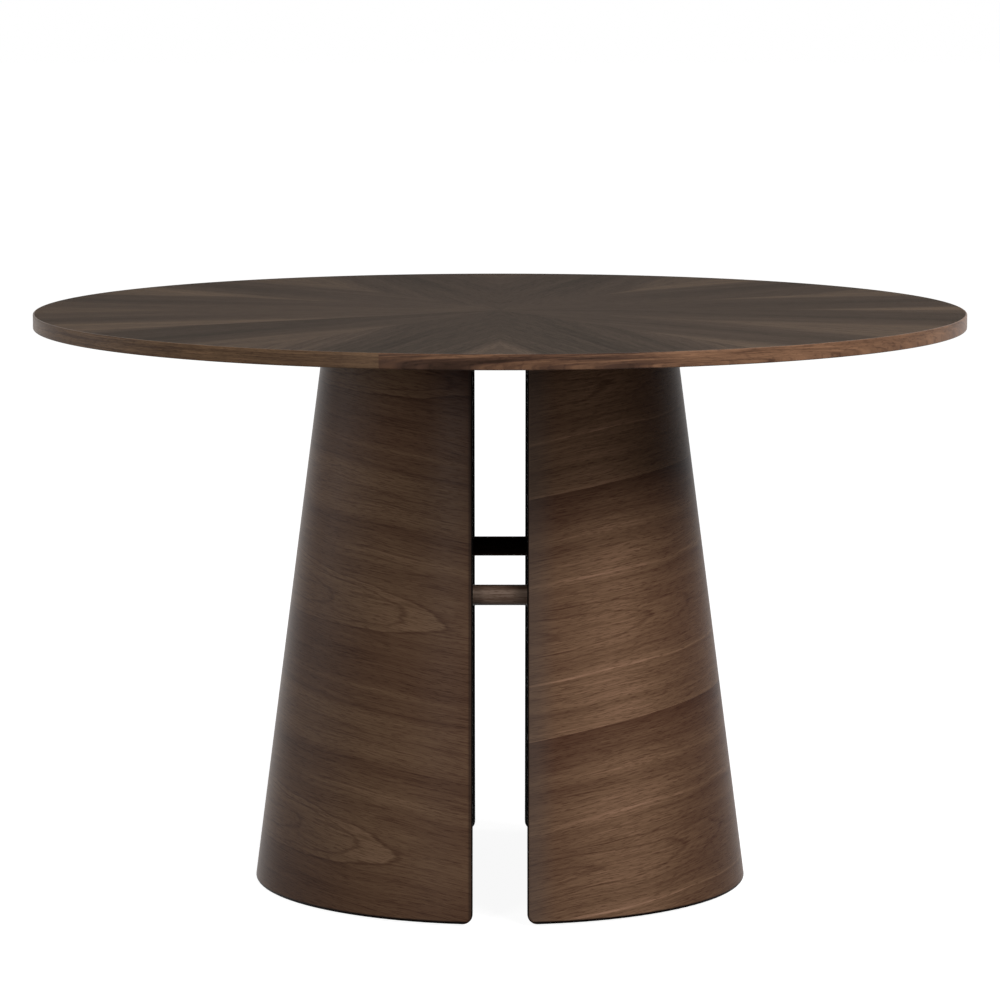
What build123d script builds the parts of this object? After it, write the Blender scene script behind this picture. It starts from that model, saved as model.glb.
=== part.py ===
from build123d import *
import os
from math import atan, cos, hypot, radians, sin, sqrt

# Round dining table: a veneered disc top on a split cone of two half shells.
# Frame: +Z up, origin on the floor under the centre of the top, the slit between the shells along Y.
# Every length is in millimetres, every angle in degrees from +X.

os.makedirs("parts", exist_ok=True)

# ---- Driving dimensions ----

# Whole table
TABLE_HEIGHT = 743.0
TOP_DIAMETER = 1200.0

# Tabletop layers
TOP_CORE_THICKNESS = 18.0
FACE_VENEER_THICKNESS = 0.5
BACKING_VENEER_THICKNESS = 0.5
LEAF_COUNT = 24
EDGE_BAND_THICKNESS = 2.0
EDGE_BAND_EASE = 1.5
EDGE_BAND_JOINT_ANGLE = 256.3

# Half-cone shells
FOOT_DIAMETER = 638.0
NECK_DIAMETER = 450.0
SHELL_CORE_THICKNESS = 18.0
SHELL_VENEER_THICKNESS = 0.6
LINING_THICKNESS = 0.6
SLIT_WIDTH = 68.0
SLIT_CORNER_RADIUS = 12.5
LIPPING_WIDTH = 14.0
OUTER_EASE = 3.5
INNER_EASE = 2.0

# Formers inside each shell
TOP_PLATE_THICKNESS = 18.0
FOOT_RING_THICKNESS = 18.0
FOOT_RING_WIDTH = 70.0
FORMER_SETBACK = 16.0

# Crossbars and the blocks that hold their ends
BAR_DIAMETER = 26.0
BAR_HEIGHT = 405.0
BAR_TO_LINING = 4.4
BAR_REACH = 56.0
BAR_END_EASE = 1.0
BLOCK_SETBACK = 10.0
BLOCK_LENGTH = 50.0
BLOCK_HEIGHT = 50.0
BLOCK_COVER = 14.0
BAR_SCREW_DIAMETER = 4.0
BAR_SCREW_LENGTH = 28.0
BAR_SCREW_HEAD_DIAMETER = 8.0
BAR_SCREW_HEAD_HEIGHT = 2.5

# Fixings between the top plates and the tabletop (M8)
BOLT_DIAMETER = 8.0
BOLT_LENGTH = 30.0
BOLT_HEAD_ACROSS_FLATS = 13.0
BOLT_HEAD_HEIGHT = 5.3
BOLT_HOLE_DIAMETER = 9.0
BOLT_EDGE_DISTANCE = 55.0
BOLT_ANGLES = (20.0, 58.0)
WASHER_DIAMETER = 24.0
WASHER_BORE = 8.4
WASHER_THICKNESS = 2.0
INSERT_DIAMETER = 12.0
INSERT_LENGTH = 13.0

# Nylon glides under the foot rings
GLIDE_DIAMETER = 28.0
GLIDE_HEIGHT = 3.0
GLIDE_EASE = 1.0
GLIDE_NAIL_DIAMETER = 2.5
GLIDE_NAIL_LENGTH = 15.0
GLIDE_ANGLES = (-60.0, 0.0, 60.0)

# ---- Sizes worked out from them ----

TOP_RADIUS = TOP_DIAMETER / 2
CORE_RADIUS = TOP_RADIUS - EDGE_BAND_THICKNESS
FACE_BOTTOM = TABLE_HEIGHT - FACE_VENEER_THICKNESS
CORE_BOTTOM = FACE_BOTTOM - TOP_CORE_THICKNESS
TOP_UNDERSIDE = CORE_BOTTOM - BACKING_VENEER_THICKNESS
LEAF_ANGLE = 360 / LEAF_COUNT

FOOT_RADIUS = FOOT_DIAMETER / 2
NECK_RADIUS = NECK_DIAMETER / 2
SHELL_BOTTOM = GLIDE_HEIGHT
SHELL_TOP = TOP_UNDERSIDE
SHELL_HEIGHT = SHELL_TOP - SHELL_BOTTOM
WALL_SLOPE = atan((FOOT_RADIUS - NECK_RADIUS) / SHELL_HEIGHT)
WALL_THICKNESS = SHELL_VENEER_THICKNESS + SHELL_CORE_THICKNESS + LINING_THICKNESS
SLIT_HALF = SLIT_WIDTH / 2
LIPPING_FACE = SLIT_HALF + LIPPING_WIDTH
FORMER_FACE = SLIT_HALF + FORMER_SETBACK
CUT_MARGIN = 1.0


def cone_radius(height, inset=0.0):
    """Radius of the shell at a height, measured inset square to its outer face."""
    rise = (height - SHELL_BOTTOM) / SHELL_HEIGHT
    outer = FOOT_RADIUS + (NECK_RADIUS - FOOT_RADIUS) * rise
    return outer - inset / cos(WALL_SLOPE)


def polar_point(radius, angle):
    """Plan position at a radius and an angle from +X."""
    return (radius * cos(radians(angle)), radius * sin(radians(angle)))


BAR_RADIUS = BAR_DIAMETER / 2
LINING_AT_SLIT = sqrt(cone_radius(BAR_HEIGHT, WALL_THICKNESS) ** 2 - SLIT_HALF**2)
BAR_OFFSET = LINING_AT_SLIT - BAR_TO_LINING - BAR_RADIUS
BAR_HALF_LENGTH = SLIT_HALF + BAR_REACH
BLOCK_INNER_FACE = BAR_OFFSET - BAR_RADIUS - BLOCK_COVER
BLOCK_START = SLIT_HALF + BLOCK_SETBACK
BLOCK_CENTRE = BLOCK_START + BLOCK_LENGTH / 2

TOP_PLATE_BOTTOM = SHELL_TOP - TOP_PLATE_THICKNESS
BOLT_CIRCLE_RADIUS = cone_radius(SHELL_TOP, WALL_THICKNESS) - BOLT_EDGE_DISTANCE
RIGHT_BOLT_ANGLES = [side * angle for angle in BOLT_ANGLES for side in (1, -1)]
RIGHT_BOLT_POINTS = [polar_point(BOLT_CIRCLE_RADIUS, angle) for angle in RIGHT_BOLT_ANGLES]
BOLT_POINTS = RIGHT_BOLT_POINTS + [(-x, y) for x, y in RIGHT_BOLT_POINTS]
WASHER_BOTTOM = TOP_PLATE_BOTTOM - WASHER_THICKNESS

FOOT_RING_TOP = SHELL_BOTTOM + FOOT_RING_THICKNESS
FOOT_RING_OUTER = cone_radius(SHELL_BOTTOM, WALL_THICKNESS)
FOOT_RING_INNER = FOOT_RING_OUTER - FOOT_RING_WIDTH
GLIDE_CIRCLE_RADIUS = (FOOT_RING_OUTER + FOOT_RING_INNER) / 2
RIGHT_GLIDE_POINTS = [polar_point(GLIDE_CIRCLE_RADIUS, angle) for angle in GLIDE_ANGLES]
GLIDE_POINTS = RIGHT_GLIDE_POINTS + [(-x, y) for x, y in RIGHT_GLIDE_POINTS]


def write_piece(piece, name):
    """Label a finished part and write it to the STEP file of its node."""
    piece.part.label = name
    export_step(piece.part, f"parts/{name}.step")


def section_plane(angle):
    """Plane through the table's axis, with radius along its x and height along its y."""
    across = radians(angle)
    return Plane(origin=(0, 0, 0), x_dir=(cos(across), sin(across), 0), z_dir=(sin(across), -cos(across), 0))


def ring_section(corners, angle=-90.0):
    """Closed section of a turned piece from its (radius, height) corners."""
    with BuildSketch(section_plane(angle)) as section:
        with BuildLine():
            Polyline(*corners, close=True)
        make_face()
    return section.sketch


def wall_section(bottom, top, outer_inset, inner_inset):
    """Section of one layer of the conical wall between two heights and two insets."""
    corners = [
        (cone_radius(bottom, inner_inset), bottom),
        (cone_radius(bottom, outer_inset), bottom),
        (cone_radius(top, outer_inset), top),
        (cone_radius(top, inner_inset), top),
    ]
    return ring_section(corners)


def layer_section(outer_inset, inner_inset):
    """Section of a layer that runs a little past both ends of the shell."""
    return wall_section(SHELL_BOTTOM - CUT_MARGIN, SHELL_TOP + CUT_MARGIN, outer_inset, inner_inset)


def on_shell_face(edge, inset):
    """True for an edge of the shell that lies on the face at an inset, below the top rim."""
    middle = edge @ 0.5
    off_face = abs(hypot(middle.X, middle.Y) - cone_radius(middle.Z, inset))
    return off_face < 0.01 and middle.Z < SHELL_TOP - CUT_MARGIN


def mirrored_piece(piece):
    """The left-hand twin of a right-hand piece."""
    with BuildPart() as twin:
        mirror(piece.part, about=Plane.YZ)
    return twin


# ---- Tabletop ----

# Fibreboard disc, with blind holes for the threaded inserts in its underside
with BuildPart() as top_core:
    with BuildSketch(Plane.XY.offset(CORE_BOTTOM)):
        Circle(CORE_RADIUS)
    extrude(amount=TOP_CORE_THICKNESS)
    with BuildSketch(Plane.XY.offset(CORE_BOTTOM)):
        with Locations(*BOLT_POINTS):
            Circle(INSERT_DIAMETER / 2)
    extrude(amount=INSERT_LENGTH - BACKING_VENEER_THICKNESS, mode=Mode.SUBTRACT)
write_piece(top_core, "top_core")

# Balancing veneer under the disc
with BuildPart() as backing_veneer:
    with BuildSketch(Plane.XY.offset(TOP_UNDERSIDE)):
        Circle(CORE_RADIUS)
        with Locations(*BOLT_POINTS):
            Circle(INSERT_DIAMETER / 2, mode=Mode.SUBTRACT)
    extrude(amount=BACKING_VENEER_THICKNESS)
write_piece(backing_veneer, "backing_veneer")

# Sunburst face: veneer leaves that meet in the middle, one of them with a joint on +X
for number in range(LEAF_COUNT):
    with BuildPart() as face_leaf:
        with BuildSketch(Plane.XY.offset(FACE_BOTTOM)):
            with BuildLine():
                rim = CenterArc((0, 0), CORE_RADIUS, number * LEAF_ANGLE, LEAF_ANGLE)
                Line((0, 0), rim @ 0)
                Line(rim @ 1, (0, 0))
            make_face()
        extrude(amount=FACE_VENEER_THICKNESS)
    write_piece(face_leaf, f"face_leaf_{number + 1:02d}")

# Edge band in two lengths, each half way round, butted at the front left and at the back right
for side_name, start_angle in (("right", EDGE_BAND_JOINT_ANGLE), ("left", EDGE_BAND_JOINT_ANGLE + 180)):
    with BuildPart() as edge_band:
        with BuildSketch(section_plane(start_angle)):
            with BuildLine():
                Polyline(
                    (CORE_RADIUS, TOP_UNDERSIDE),
                    (TOP_RADIUS, TOP_UNDERSIDE),
                    (TOP_RADIUS, TABLE_HEIGHT),
                    (CORE_RADIUS, TABLE_HEIGHT),
                    close=True,
                )
            make_face()
        revolve(axis=Axis.Z, revolution_arc=180)
        fillet(edge_band.edges().filter_by(GeomType.CIRCLE).group_by(SortBy.RADIUS)[-1], EDGE_BAND_EASE)
    write_piece(edge_band, f"edge_band_{side_name}")

# ---- Shells ----

# The whole right wall, shaped and eased, from which its layers are taken
with BuildPart() as right_wall:
    revolve(wall_section(SHELL_BOTTOM, SHELL_TOP, 0, WALL_THICKNESS), axis=Axis.Z, revolution_arc=180)
    with BuildSketch(Plane.XZ):
        with BuildLine():
            Polyline(
                (SLIT_HALF, SHELL_BOTTOM + SLIT_CORNER_RADIUS),
                (SLIT_HALF, SHELL_TOP + CUT_MARGIN),
                (-CUT_MARGIN, SHELL_TOP + CUT_MARGIN),
                (-CUT_MARGIN, SHELL_BOTTOM - CUT_MARGIN),
                (SLIT_HALF + SLIT_CORNER_RADIUS, SHELL_BOTTOM - CUT_MARGIN),
                (SLIT_HALF + SLIT_CORNER_RADIUS, SHELL_BOTTOM),
            )
            RadiusArc(
                (SLIT_HALF + SLIT_CORNER_RADIUS, SHELL_BOTTOM),
                (SLIT_HALF, SHELL_BOTTOM + SLIT_CORNER_RADIUS),
                SLIT_CORNER_RADIUS,
            )
        make_face()
    extrude(amount=FOOT_RADIUS + CUT_MARGIN, both=True, mode=Mode.SUBTRACT)
    fillet(right_wall.edges().filter_by(lambda edge: on_shell_face(edge, 0)), OUTER_EASE)
    fillet(right_wall.edges().filter_by(lambda edge: on_shell_face(edge, WALL_THICKNESS)), INNER_EASE)

# Sketch of both crossbars' section, which also cuts their bores
with BuildSketch(Plane.YZ) as bar_section:
    with Locations((BAR_OFFSET, BAR_HEIGHT), (-BAR_OFFSET, BAR_HEIGHT)):
        Circle(BAR_RADIUS)

# Bent plywood core between the lippings, bored for the crossbars' ends
with BuildPart() as right_core:
    add(right_wall.part)
    core_layer = layer_section(SHELL_VENEER_THICKNESS, SHELL_VENEER_THICKNESS + SHELL_CORE_THICKNESS)
    revolve(core_layer, axis=Axis.Z, revolution_arc=180, mode=Mode.INTERSECT)
    split(bisect_by=Plane.YZ.offset(LIPPING_FACE), keep=Keep.TOP)
    extrude(bar_section.sketch, amount=BAR_HALF_LENGTH, mode=Mode.SUBTRACT)
write_piece(right_core, "right_shell_core")
write_piece(mirrored_piece(right_core), "left_shell_core")

# Walnut veneer on the outside, carried over the lippings to the eased arris
with BuildPart() as right_veneer:
    add(right_wall.part)
    veneer_layer = layer_section(-CUT_MARGIN, SHELL_VENEER_THICKNESS)
    revolve(veneer_layer, axis=Axis.Z, revolution_arc=180, mode=Mode.INTERSECT)
write_piece(right_veneer, "right_shell_veneer")
write_piece(mirrored_piece(right_veneer), "left_shell_veneer")

# Black lining on the inside
with BuildPart() as right_lining:
    add(right_wall.part)
    lining_layer = layer_section(SHELL_VENEER_THICKNESS + SHELL_CORE_THICKNESS, WALL_THICKNESS + CUT_MARGIN)
    revolve(lining_layer, axis=Axis.Z, revolution_arc=180, mode=Mode.INTERSECT)
    extrude(bar_section.sketch, amount=BAR_HALF_LENGTH, mode=Mode.SUBTRACT)
write_piece(right_lining, "right_shell_lining")
write_piece(mirrored_piece(right_lining), "left_shell_lining")

# Solid walnut lippings down both edges of the slit
for side_name, side_plane in (("front", Plane.ZX), ("back", Plane.XZ)):
    with BuildPart() as right_lipping:
        add(right_wall.part)
        core_layer = layer_section(SHELL_VENEER_THICKNESS, SHELL_VENEER_THICKNESS + SHELL_CORE_THICKNESS)
        revolve(core_layer, axis=Axis.Z, revolution_arc=180, mode=Mode.INTERSECT)
        split(bisect_by=Plane.YZ.offset(LIPPING_FACE), keep=Keep.BOTTOM)
        split(bisect_by=side_plane, keep=Keep.BOTTOM)
        extrude(bar_section.sketch, amount=BAR_HALF_LENGTH, mode=Mode.SUBTRACT)
    write_piece(right_lipping, f"right_{side_name}_lipping")
    write_piece(mirrored_piece(right_lipping), f"left_{side_name}_lipping")

# ---- Formers that hold each shell's curve ----

# Half-disc plate at the neck, drilled for the bolts into the tabletop
with BuildPart() as right_top_plate:
    plate_corners = [
        (0, TOP_PLATE_BOTTOM),
        (cone_radius(TOP_PLATE_BOTTOM, WALL_THICKNESS), TOP_PLATE_BOTTOM),
        (cone_radius(SHELL_TOP, WALL_THICKNESS), SHELL_TOP),
        (0, SHELL_TOP),
    ]
    revolve(ring_section(plate_corners), axis=Axis.Z, revolution_arc=180)
    split(bisect_by=Plane.YZ.offset(FORMER_FACE), keep=Keep.TOP)
    with BuildSketch(Plane.XY.offset(TOP_PLATE_BOTTOM)):
        with Locations(*RIGHT_BOLT_POINTS):
            Circle(BOLT_HOLE_DIAMETER / 2)
    extrude(amount=TOP_PLATE_THICKNESS, mode=Mode.SUBTRACT)
write_piece(right_top_plate, "right_top_plate")
write_piece(mirrored_piece(right_top_plate), "left_top_plate")

# Half ring at the foot, with pilot holes for the glides' nails
with BuildPart() as right_foot_ring:
    ring_corners = [
        (FOOT_RING_INNER, SHELL_BOTTOM),
        (FOOT_RING_OUTER, SHELL_BOTTOM),
        (cone_radius(FOOT_RING_TOP, WALL_THICKNESS), FOOT_RING_TOP),
        (FOOT_RING_INNER, FOOT_RING_TOP),
    ]
    revolve(ring_section(ring_corners), axis=Axis.Z, revolution_arc=180)
    split(bisect_by=Plane.YZ.offset(FORMER_FACE), keep=Keep.TOP)
    with BuildSketch(Plane.XY.offset(SHELL_BOTTOM)):
        with Locations(*RIGHT_GLIDE_POINTS):
            Circle(GLIDE_NAIL_DIAMETER / 2)
    extrude(amount=GLIDE_NAIL_LENGTH, mode=Mode.SUBTRACT)
write_piece(right_foot_ring, "right_foot_ring")
write_piece(mirrored_piece(right_foot_ring), "left_foot_ring")

# ---- Crossbars, their blocks and screws ----

for side_name, side in (("front", -1), ("back", 1)):
    with BuildPart() as crossbar:
        with BuildSketch(Plane.YZ.offset(-BAR_HALF_LENGTH)):
            with Locations((side * BAR_OFFSET, BAR_HEIGHT)):
                Circle(BAR_RADIUS)
        extrude(amount=2 * BAR_HALF_LENGTH)
        chamfer(crossbar.edges().filter_by(GeomType.CIRCLE), BAR_END_EASE)
        with BuildSketch(Plane.XZ.offset(-side * BLOCK_INNER_FACE)):
            with Locations((BLOCK_CENTRE, BAR_HEIGHT), (-BLOCK_CENTRE, BAR_HEIGHT)):
                Circle(BAR_SCREW_DIAMETER / 2)
        extrude(amount=-side * BAR_SCREW_LENGTH, mode=Mode.SUBTRACT)
    write_piece(crossbar, f"{side_name}_crossbar")

    # Hardwood block glued to the lining, bored along X for the bar and along Y for its screw
    with BuildPart() as right_block:
        block_corners = [
            (0, BAR_HEIGHT - BLOCK_HEIGHT / 2),
            (cone_radius(BAR_HEIGHT - BLOCK_HEIGHT / 2, WALL_THICKNESS), BAR_HEIGHT - BLOCK_HEIGHT / 2),
            (cone_radius(BAR_HEIGHT + BLOCK_HEIGHT / 2, WALL_THICKNESS), BAR_HEIGHT + BLOCK_HEIGHT / 2),
            (0, BAR_HEIGHT + BLOCK_HEIGHT / 2),
        ]
        revolve(ring_section(block_corners), axis=Axis.Z, revolution_arc=180)
        with BuildSketch(Plane.XY.offset(BAR_HEIGHT - BLOCK_HEIGHT / 2)):
            with Locations((BLOCK_CENTRE, side * (BLOCK_INNER_FACE + FOOT_RADIUS) / 2)):
                Rectangle(BLOCK_LENGTH, FOOT_RADIUS - BLOCK_INNER_FACE)
        extrude(amount=BLOCK_HEIGHT, mode=Mode.INTERSECT)
        extrude(bar_section.sketch, amount=BAR_HALF_LENGTH, mode=Mode.SUBTRACT)
        with BuildSketch(Plane.XZ.offset(-side * BLOCK_INNER_FACE)):
            with Locations((BLOCK_CENTRE, BAR_HEIGHT)):
                Circle(BAR_SCREW_DIAMETER / 2)
        extrude(amount=-side * BAR_SCREW_LENGTH, mode=Mode.SUBTRACT)
    write_piece(right_block, f"right_{side_name}_block")
    write_piece(mirrored_piece(right_block), f"left_{side_name}_block")

# One pan-head screw through each block into the bar's end
with BuildPart() as bar_screws:
    for side in (-1, 1):
        with BuildSketch(Plane.XZ.offset(-side * BLOCK_INNER_FACE)):
            with Locations((BLOCK_CENTRE, BAR_HEIGHT), (-BLOCK_CENTRE, BAR_HEIGHT)):
                Circle(BAR_SCREW_DIAMETER / 2)
        extrude(amount=-side * BAR_SCREW_LENGTH)
        with BuildSketch(Plane.XZ.offset(-side * BLOCK_INNER_FACE)):
            with Locations((BLOCK_CENTRE, BAR_HEIGHT), (-BLOCK_CENTRE, BAR_HEIGHT)):
                Circle(BAR_SCREW_HEAD_DIAMETER / 2)
        extrude(amount=side * BAR_SCREW_HEAD_HEIGHT)
write_piece(bar_screws, "crossbar_screws")

# ---- Fixings between base and tabletop ----

# Brass inserts, flush with the underside of the top
with BuildPart() as threaded_inserts:
    with BuildSketch(Plane.XY.offset(TOP_UNDERSIDE)):
        with Locations(*BOLT_POINTS):
            Circle(INSERT_DIAMETER / 2)
            Circle(BOLT_DIAMETER / 2, mode=Mode.SUBTRACT)
    extrude(amount=INSERT_LENGTH)
write_piece(threaded_inserts, "threaded_inserts")

with BuildPart() as top_washers:
    with BuildSketch(Plane.XY.offset(WASHER_BOTTOM)):
        with Locations(*BOLT_POINTS):
            Circle(WASHER_DIAMETER / 2)
            Circle(WASHER_BORE / 2, mode=Mode.SUBTRACT)
    extrude(amount=WASHER_THICKNESS)
write_piece(top_washers, "top_washers")

with BuildPart() as top_bolts:
    with BuildSketch(Plane.XY.offset(WASHER_BOTTOM)):
        with Locations(*BOLT_POINTS):
            Circle(BOLT_DIAMETER / 2)
    extrude(amount=BOLT_LENGTH)
    with BuildSketch(Plane.XY.offset(WASHER_BOTTOM)):
        with Locations(*BOLT_POINTS):
            RegularPolygon(BOLT_HEAD_ACROSS_FLATS / 2, 6, major_radius=False)
    extrude(amount=-BOLT_HEAD_HEIGHT)
write_piece(top_bolts, "top_bolts")

# ---- Glides ----

with BuildPart() as floor_glides:
    with BuildSketch():
        with Locations(*GLIDE_POINTS):
            Circle(GLIDE_DIAMETER / 2)
    extrude(amount=GLIDE_HEIGHT)
    fillet(floor_glides.edges().group_by(Axis.Z)[0], GLIDE_EASE)
    with BuildSketch(Plane.XY.offset(GLIDE_HEIGHT)):
        with Locations(*GLIDE_POINTS):
            Circle(GLIDE_NAIL_DIAMETER / 2)
    extrude(amount=GLIDE_NAIL_LENGTH)
write_piece(floor_glides, "floor_glides")
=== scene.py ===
"""Round dining table: its finishes, and its veneered surfaces as smooth meshes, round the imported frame.

A disc top, laid with a sunburst of walnut leaves, stands on a cone base. The base is split from front to
back into two half shells, which two round crossbars tie together.
The frame is +Z up, with the floor at z = 0, the table's axis at x = y = 0 and the slit between the shells
along Y.
Lengths are in metres unless a name ends in _mm, and angles are in radians unless a name ends in _degrees.
"""

import logging
import math
from collections.abc import Iterable
from dataclasses import dataclass, field
from enum import Enum
from typing import Any

import bmesh
import bpy
import numpy as np
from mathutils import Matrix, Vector

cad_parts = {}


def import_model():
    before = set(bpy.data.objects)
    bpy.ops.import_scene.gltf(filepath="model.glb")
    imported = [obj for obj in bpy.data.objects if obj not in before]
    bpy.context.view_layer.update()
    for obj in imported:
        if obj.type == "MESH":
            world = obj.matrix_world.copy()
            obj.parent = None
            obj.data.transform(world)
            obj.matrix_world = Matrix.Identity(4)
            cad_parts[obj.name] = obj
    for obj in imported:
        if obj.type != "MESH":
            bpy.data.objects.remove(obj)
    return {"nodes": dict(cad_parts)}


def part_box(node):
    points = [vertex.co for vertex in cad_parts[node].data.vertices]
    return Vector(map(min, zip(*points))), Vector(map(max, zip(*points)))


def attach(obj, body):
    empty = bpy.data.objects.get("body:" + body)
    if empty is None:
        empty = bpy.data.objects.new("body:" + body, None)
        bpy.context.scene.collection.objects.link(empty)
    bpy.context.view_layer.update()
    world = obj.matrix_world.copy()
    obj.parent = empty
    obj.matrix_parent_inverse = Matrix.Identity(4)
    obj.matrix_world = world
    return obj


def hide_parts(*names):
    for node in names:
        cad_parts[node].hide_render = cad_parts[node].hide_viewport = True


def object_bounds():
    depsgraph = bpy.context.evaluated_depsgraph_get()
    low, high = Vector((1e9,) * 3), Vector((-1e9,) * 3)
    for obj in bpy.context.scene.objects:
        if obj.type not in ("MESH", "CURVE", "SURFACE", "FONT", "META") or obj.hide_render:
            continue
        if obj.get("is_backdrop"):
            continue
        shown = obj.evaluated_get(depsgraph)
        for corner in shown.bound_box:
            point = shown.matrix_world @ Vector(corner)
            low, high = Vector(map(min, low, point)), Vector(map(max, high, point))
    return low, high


log = logging.getLogger("dining_table")

Tree = bpy.types.NodeTree
Material = bpy.types.Material
Pair = tuple[float, float]
Colour = tuple[float, float, float, float]
Levels = tuple[Pair, ...]
Shades = tuple[str, str, str, str, str, str]

MM = 0.001
DOUBLE_DISTANCE = 0.0001 * MM
CREASE = math.radians(28.0)
ROOT_BODY = "root"
GRAIN_MAP = "grain"
NOISE_ROUGHNESS = 0.55
SHADE_STOPS = (0.0, 0.25, 0.45, 0.6, 0.8, 1.0)
STREAK_STOPS = (0.3, 0.7)
SPECK_STOPS = (0.35, 0.65)
SPECK_RELIEF_SHARE = 0.6


class Side(Enum):
    """Which half of the base a piece belongs to. The value is the sign of its X."""

    RIGHT = 1
    LEFT = -1


class SlitEdge(Enum):
    """Which end of the slit a piece stands at. The value is the sign of its Y."""

    FRONT = -1
    BACK = 1


class SkinFace(Enum):
    """Which way a thin layer of the shell's wall shows. The value is the sign along the outward normal."""

    OUTER = 1
    INNER = -1


class Noise(Enum):
    """The kinds of marks in walnut. The value is an offset that sets one apart, and its octaves of detail."""

    SLOW = (3.1, 2.0)
    LINE = (7.7, 3.0)
    FIBRE = (12.9, 2.0)
    PORE = (21.3, 1.0)
    WANDER = (31.7, 1.0)
    RAGGED = (41.9, 2.0)
    WOBBLE = (47.3, 2.0)
    CROWN_STRIPE = (55.1, 1.0)
    VEIN = (61.7, 2.0)
    STRIPE = (71.3, 1.0)


# ---- Meshes ----


@dataclass
class Surface:
    """A mesh under construction, held as whole arrays.

    Attributes:
        points: Vertex places, one row each.
        faces: Vertex indices of each face.
        grain: UV map that follows the wood: distance along the grain, then across it, one row for each
            vertex.
        floats: Further values for each vertex, by attribute name.
    """

    points: np.ndarray
    faces: list[list[int]]
    grain: np.ndarray
    floats: dict[str, np.ndarray] = field(default_factory=dict)

    def mirrored(self, axis: int) -> "Surface":
        """The twin of this surface across the plane square to an axis, its faces still pointing out."""
        points = self.points.copy()
        points[:, axis] *= -1
        return Surface(points, [face[::-1] for face in self.faces], self.grain, self.floats)


def quads(ids: np.ndarray, flip: bool = False) -> list[list[int]]:
    """Quads between neighbouring rows and columns of a grid of vertex indices.

    Args:
        ids: Vertex indices, as rows by columns.
        flip: True to turn the faces over.

    Returns:
        One list of four indices for each cell.
    """
    cells = np.stack([ids[:-1, :-1], ids[:-1, 1:], ids[1:, 1:], ids[1:, :-1]], axis=-1).reshape(-1, 4)
    return (cells[:, ::-1] if flip else cells).tolist()


def border(ids: np.ndarray) -> np.ndarray:
    """Indices down a grid's first column, along its last row and up its last column."""
    return np.concatenate([ids[:, 0], ids[-1, 1:], ids[-2::-1, -1]])


def swept(loops: np.ndarray, along: np.ndarray, flip: bool = False) -> Surface:
    """Closed loops of points, joined one to the next, with a face over both ends.

    Args:
        loops: Points, as loop by point by coordinate.
        along: Distance of each loop along the grain. Across the grain, distance round the loop counts.
        flip: True to turn the faces over.

    Returns:
        Their surface.
    """
    ids = np.arange(loops.shape[0] * loops.shape[1]).reshape(loops.shape[:2])
    faces = quads(np.column_stack([ids, ids[:, 0]]), flip)
    first, last = (ids[0], ids[-1, ::-1]) if flip else (ids[0, ::-1], ids[-1])
    faces += [first.tolist(), last.tolist()]
    steps = np.linalg.norm(np.diff(loops, axis=1), axis=2)
    across = np.column_stack([np.zeros(len(loops)), np.cumsum(steps, axis=1)])
    grain = np.stack(np.broadcast_arrays(along[:, None], across), axis=-1).reshape(-1, 2)
    return Surface(loops.reshape(-1, 3), faces, grain)


def merge_doubles(mesh: bpy.types.Mesh) -> None:
    """Join the vertices that lie at one place, and drop the faces that this leaves without an area."""
    work = bmesh.new()
    work.from_mesh(mesh)
    bmesh.ops.remove_doubles(work, verts=work.verts, dist=DOUBLE_DISTANCE)
    work.to_mesh(mesh)
    work.free()


def add_piece(name: str, surface: Surface, material: Material, node: str) -> None:
    """Make a finished piece from a surface, in place of the CAD node that it refines.

    Args:
        name: Name of the new object, which rides on the table's body.
        surface: Its vertices, faces and grain map.
        material: Its finish.
        node: CAD node that it stands for.
    """
    mesh = bpy.data.meshes.new(name)
    mesh.from_pydata(surface.points, [], surface.faces)
    corners = np.empty(len(mesh.loops), dtype=np.int32)
    mesh.loops.foreach_get("vertex_index", corners)
    grain = surface.grain[corners].astype(np.float32)
    mesh.uv_layers.new(name=GRAIN_MAP).uv.foreach_set("vector", grain.ravel())
    for attribute_name, values in surface.floats.items():
        attribute = mesh.attributes.new(attribute_name, "FLOAT", "POINT")
        attribute.data.foreach_set("value", values.astype(np.float32))
    merge_doubles(mesh)
    mesh.shade_smooth()
    mesh.set_sharp_from_angle(angle=CREASE)
    mesh.materials.append(material)
    mesh.validate()
    piece = bpy.data.objects.new(name, mesh)
    bpy.context.scene.collection.objects.link(piece)
    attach(piece, ROOT_BODY)
    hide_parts(node)
    log.info("%s: %d faces, stands for %s", name, len(mesh.polygons), node)


# ---- Shader nodes ----


def linear(hex_colour: str) -> Colour:
    """An sRGB colour such as "4b392f", turned to linear light with full alpha."""
    channels = [int(hex_colour[start:start + 2], 16) / 255 for start in (0, 2, 4)]
    red, green, blue = [c / 12.92 if c <= 0.04045 else ((c + 0.055) / 1.055) ** 2.4 for c in channels]
    return (red, green, blue, 1.0)


def grey(level: float) -> Colour:
    """A neutral ramp colour of one level."""
    return (level, level, level, 1.0)


def first_output(source: Any) -> Any:
    """The first live output of a node, or the value itself when it isn't a node."""
    if isinstance(source, bpy.types.Node):
        return next(output for output in source.outputs if not output.is_unavailable)
    return source


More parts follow.
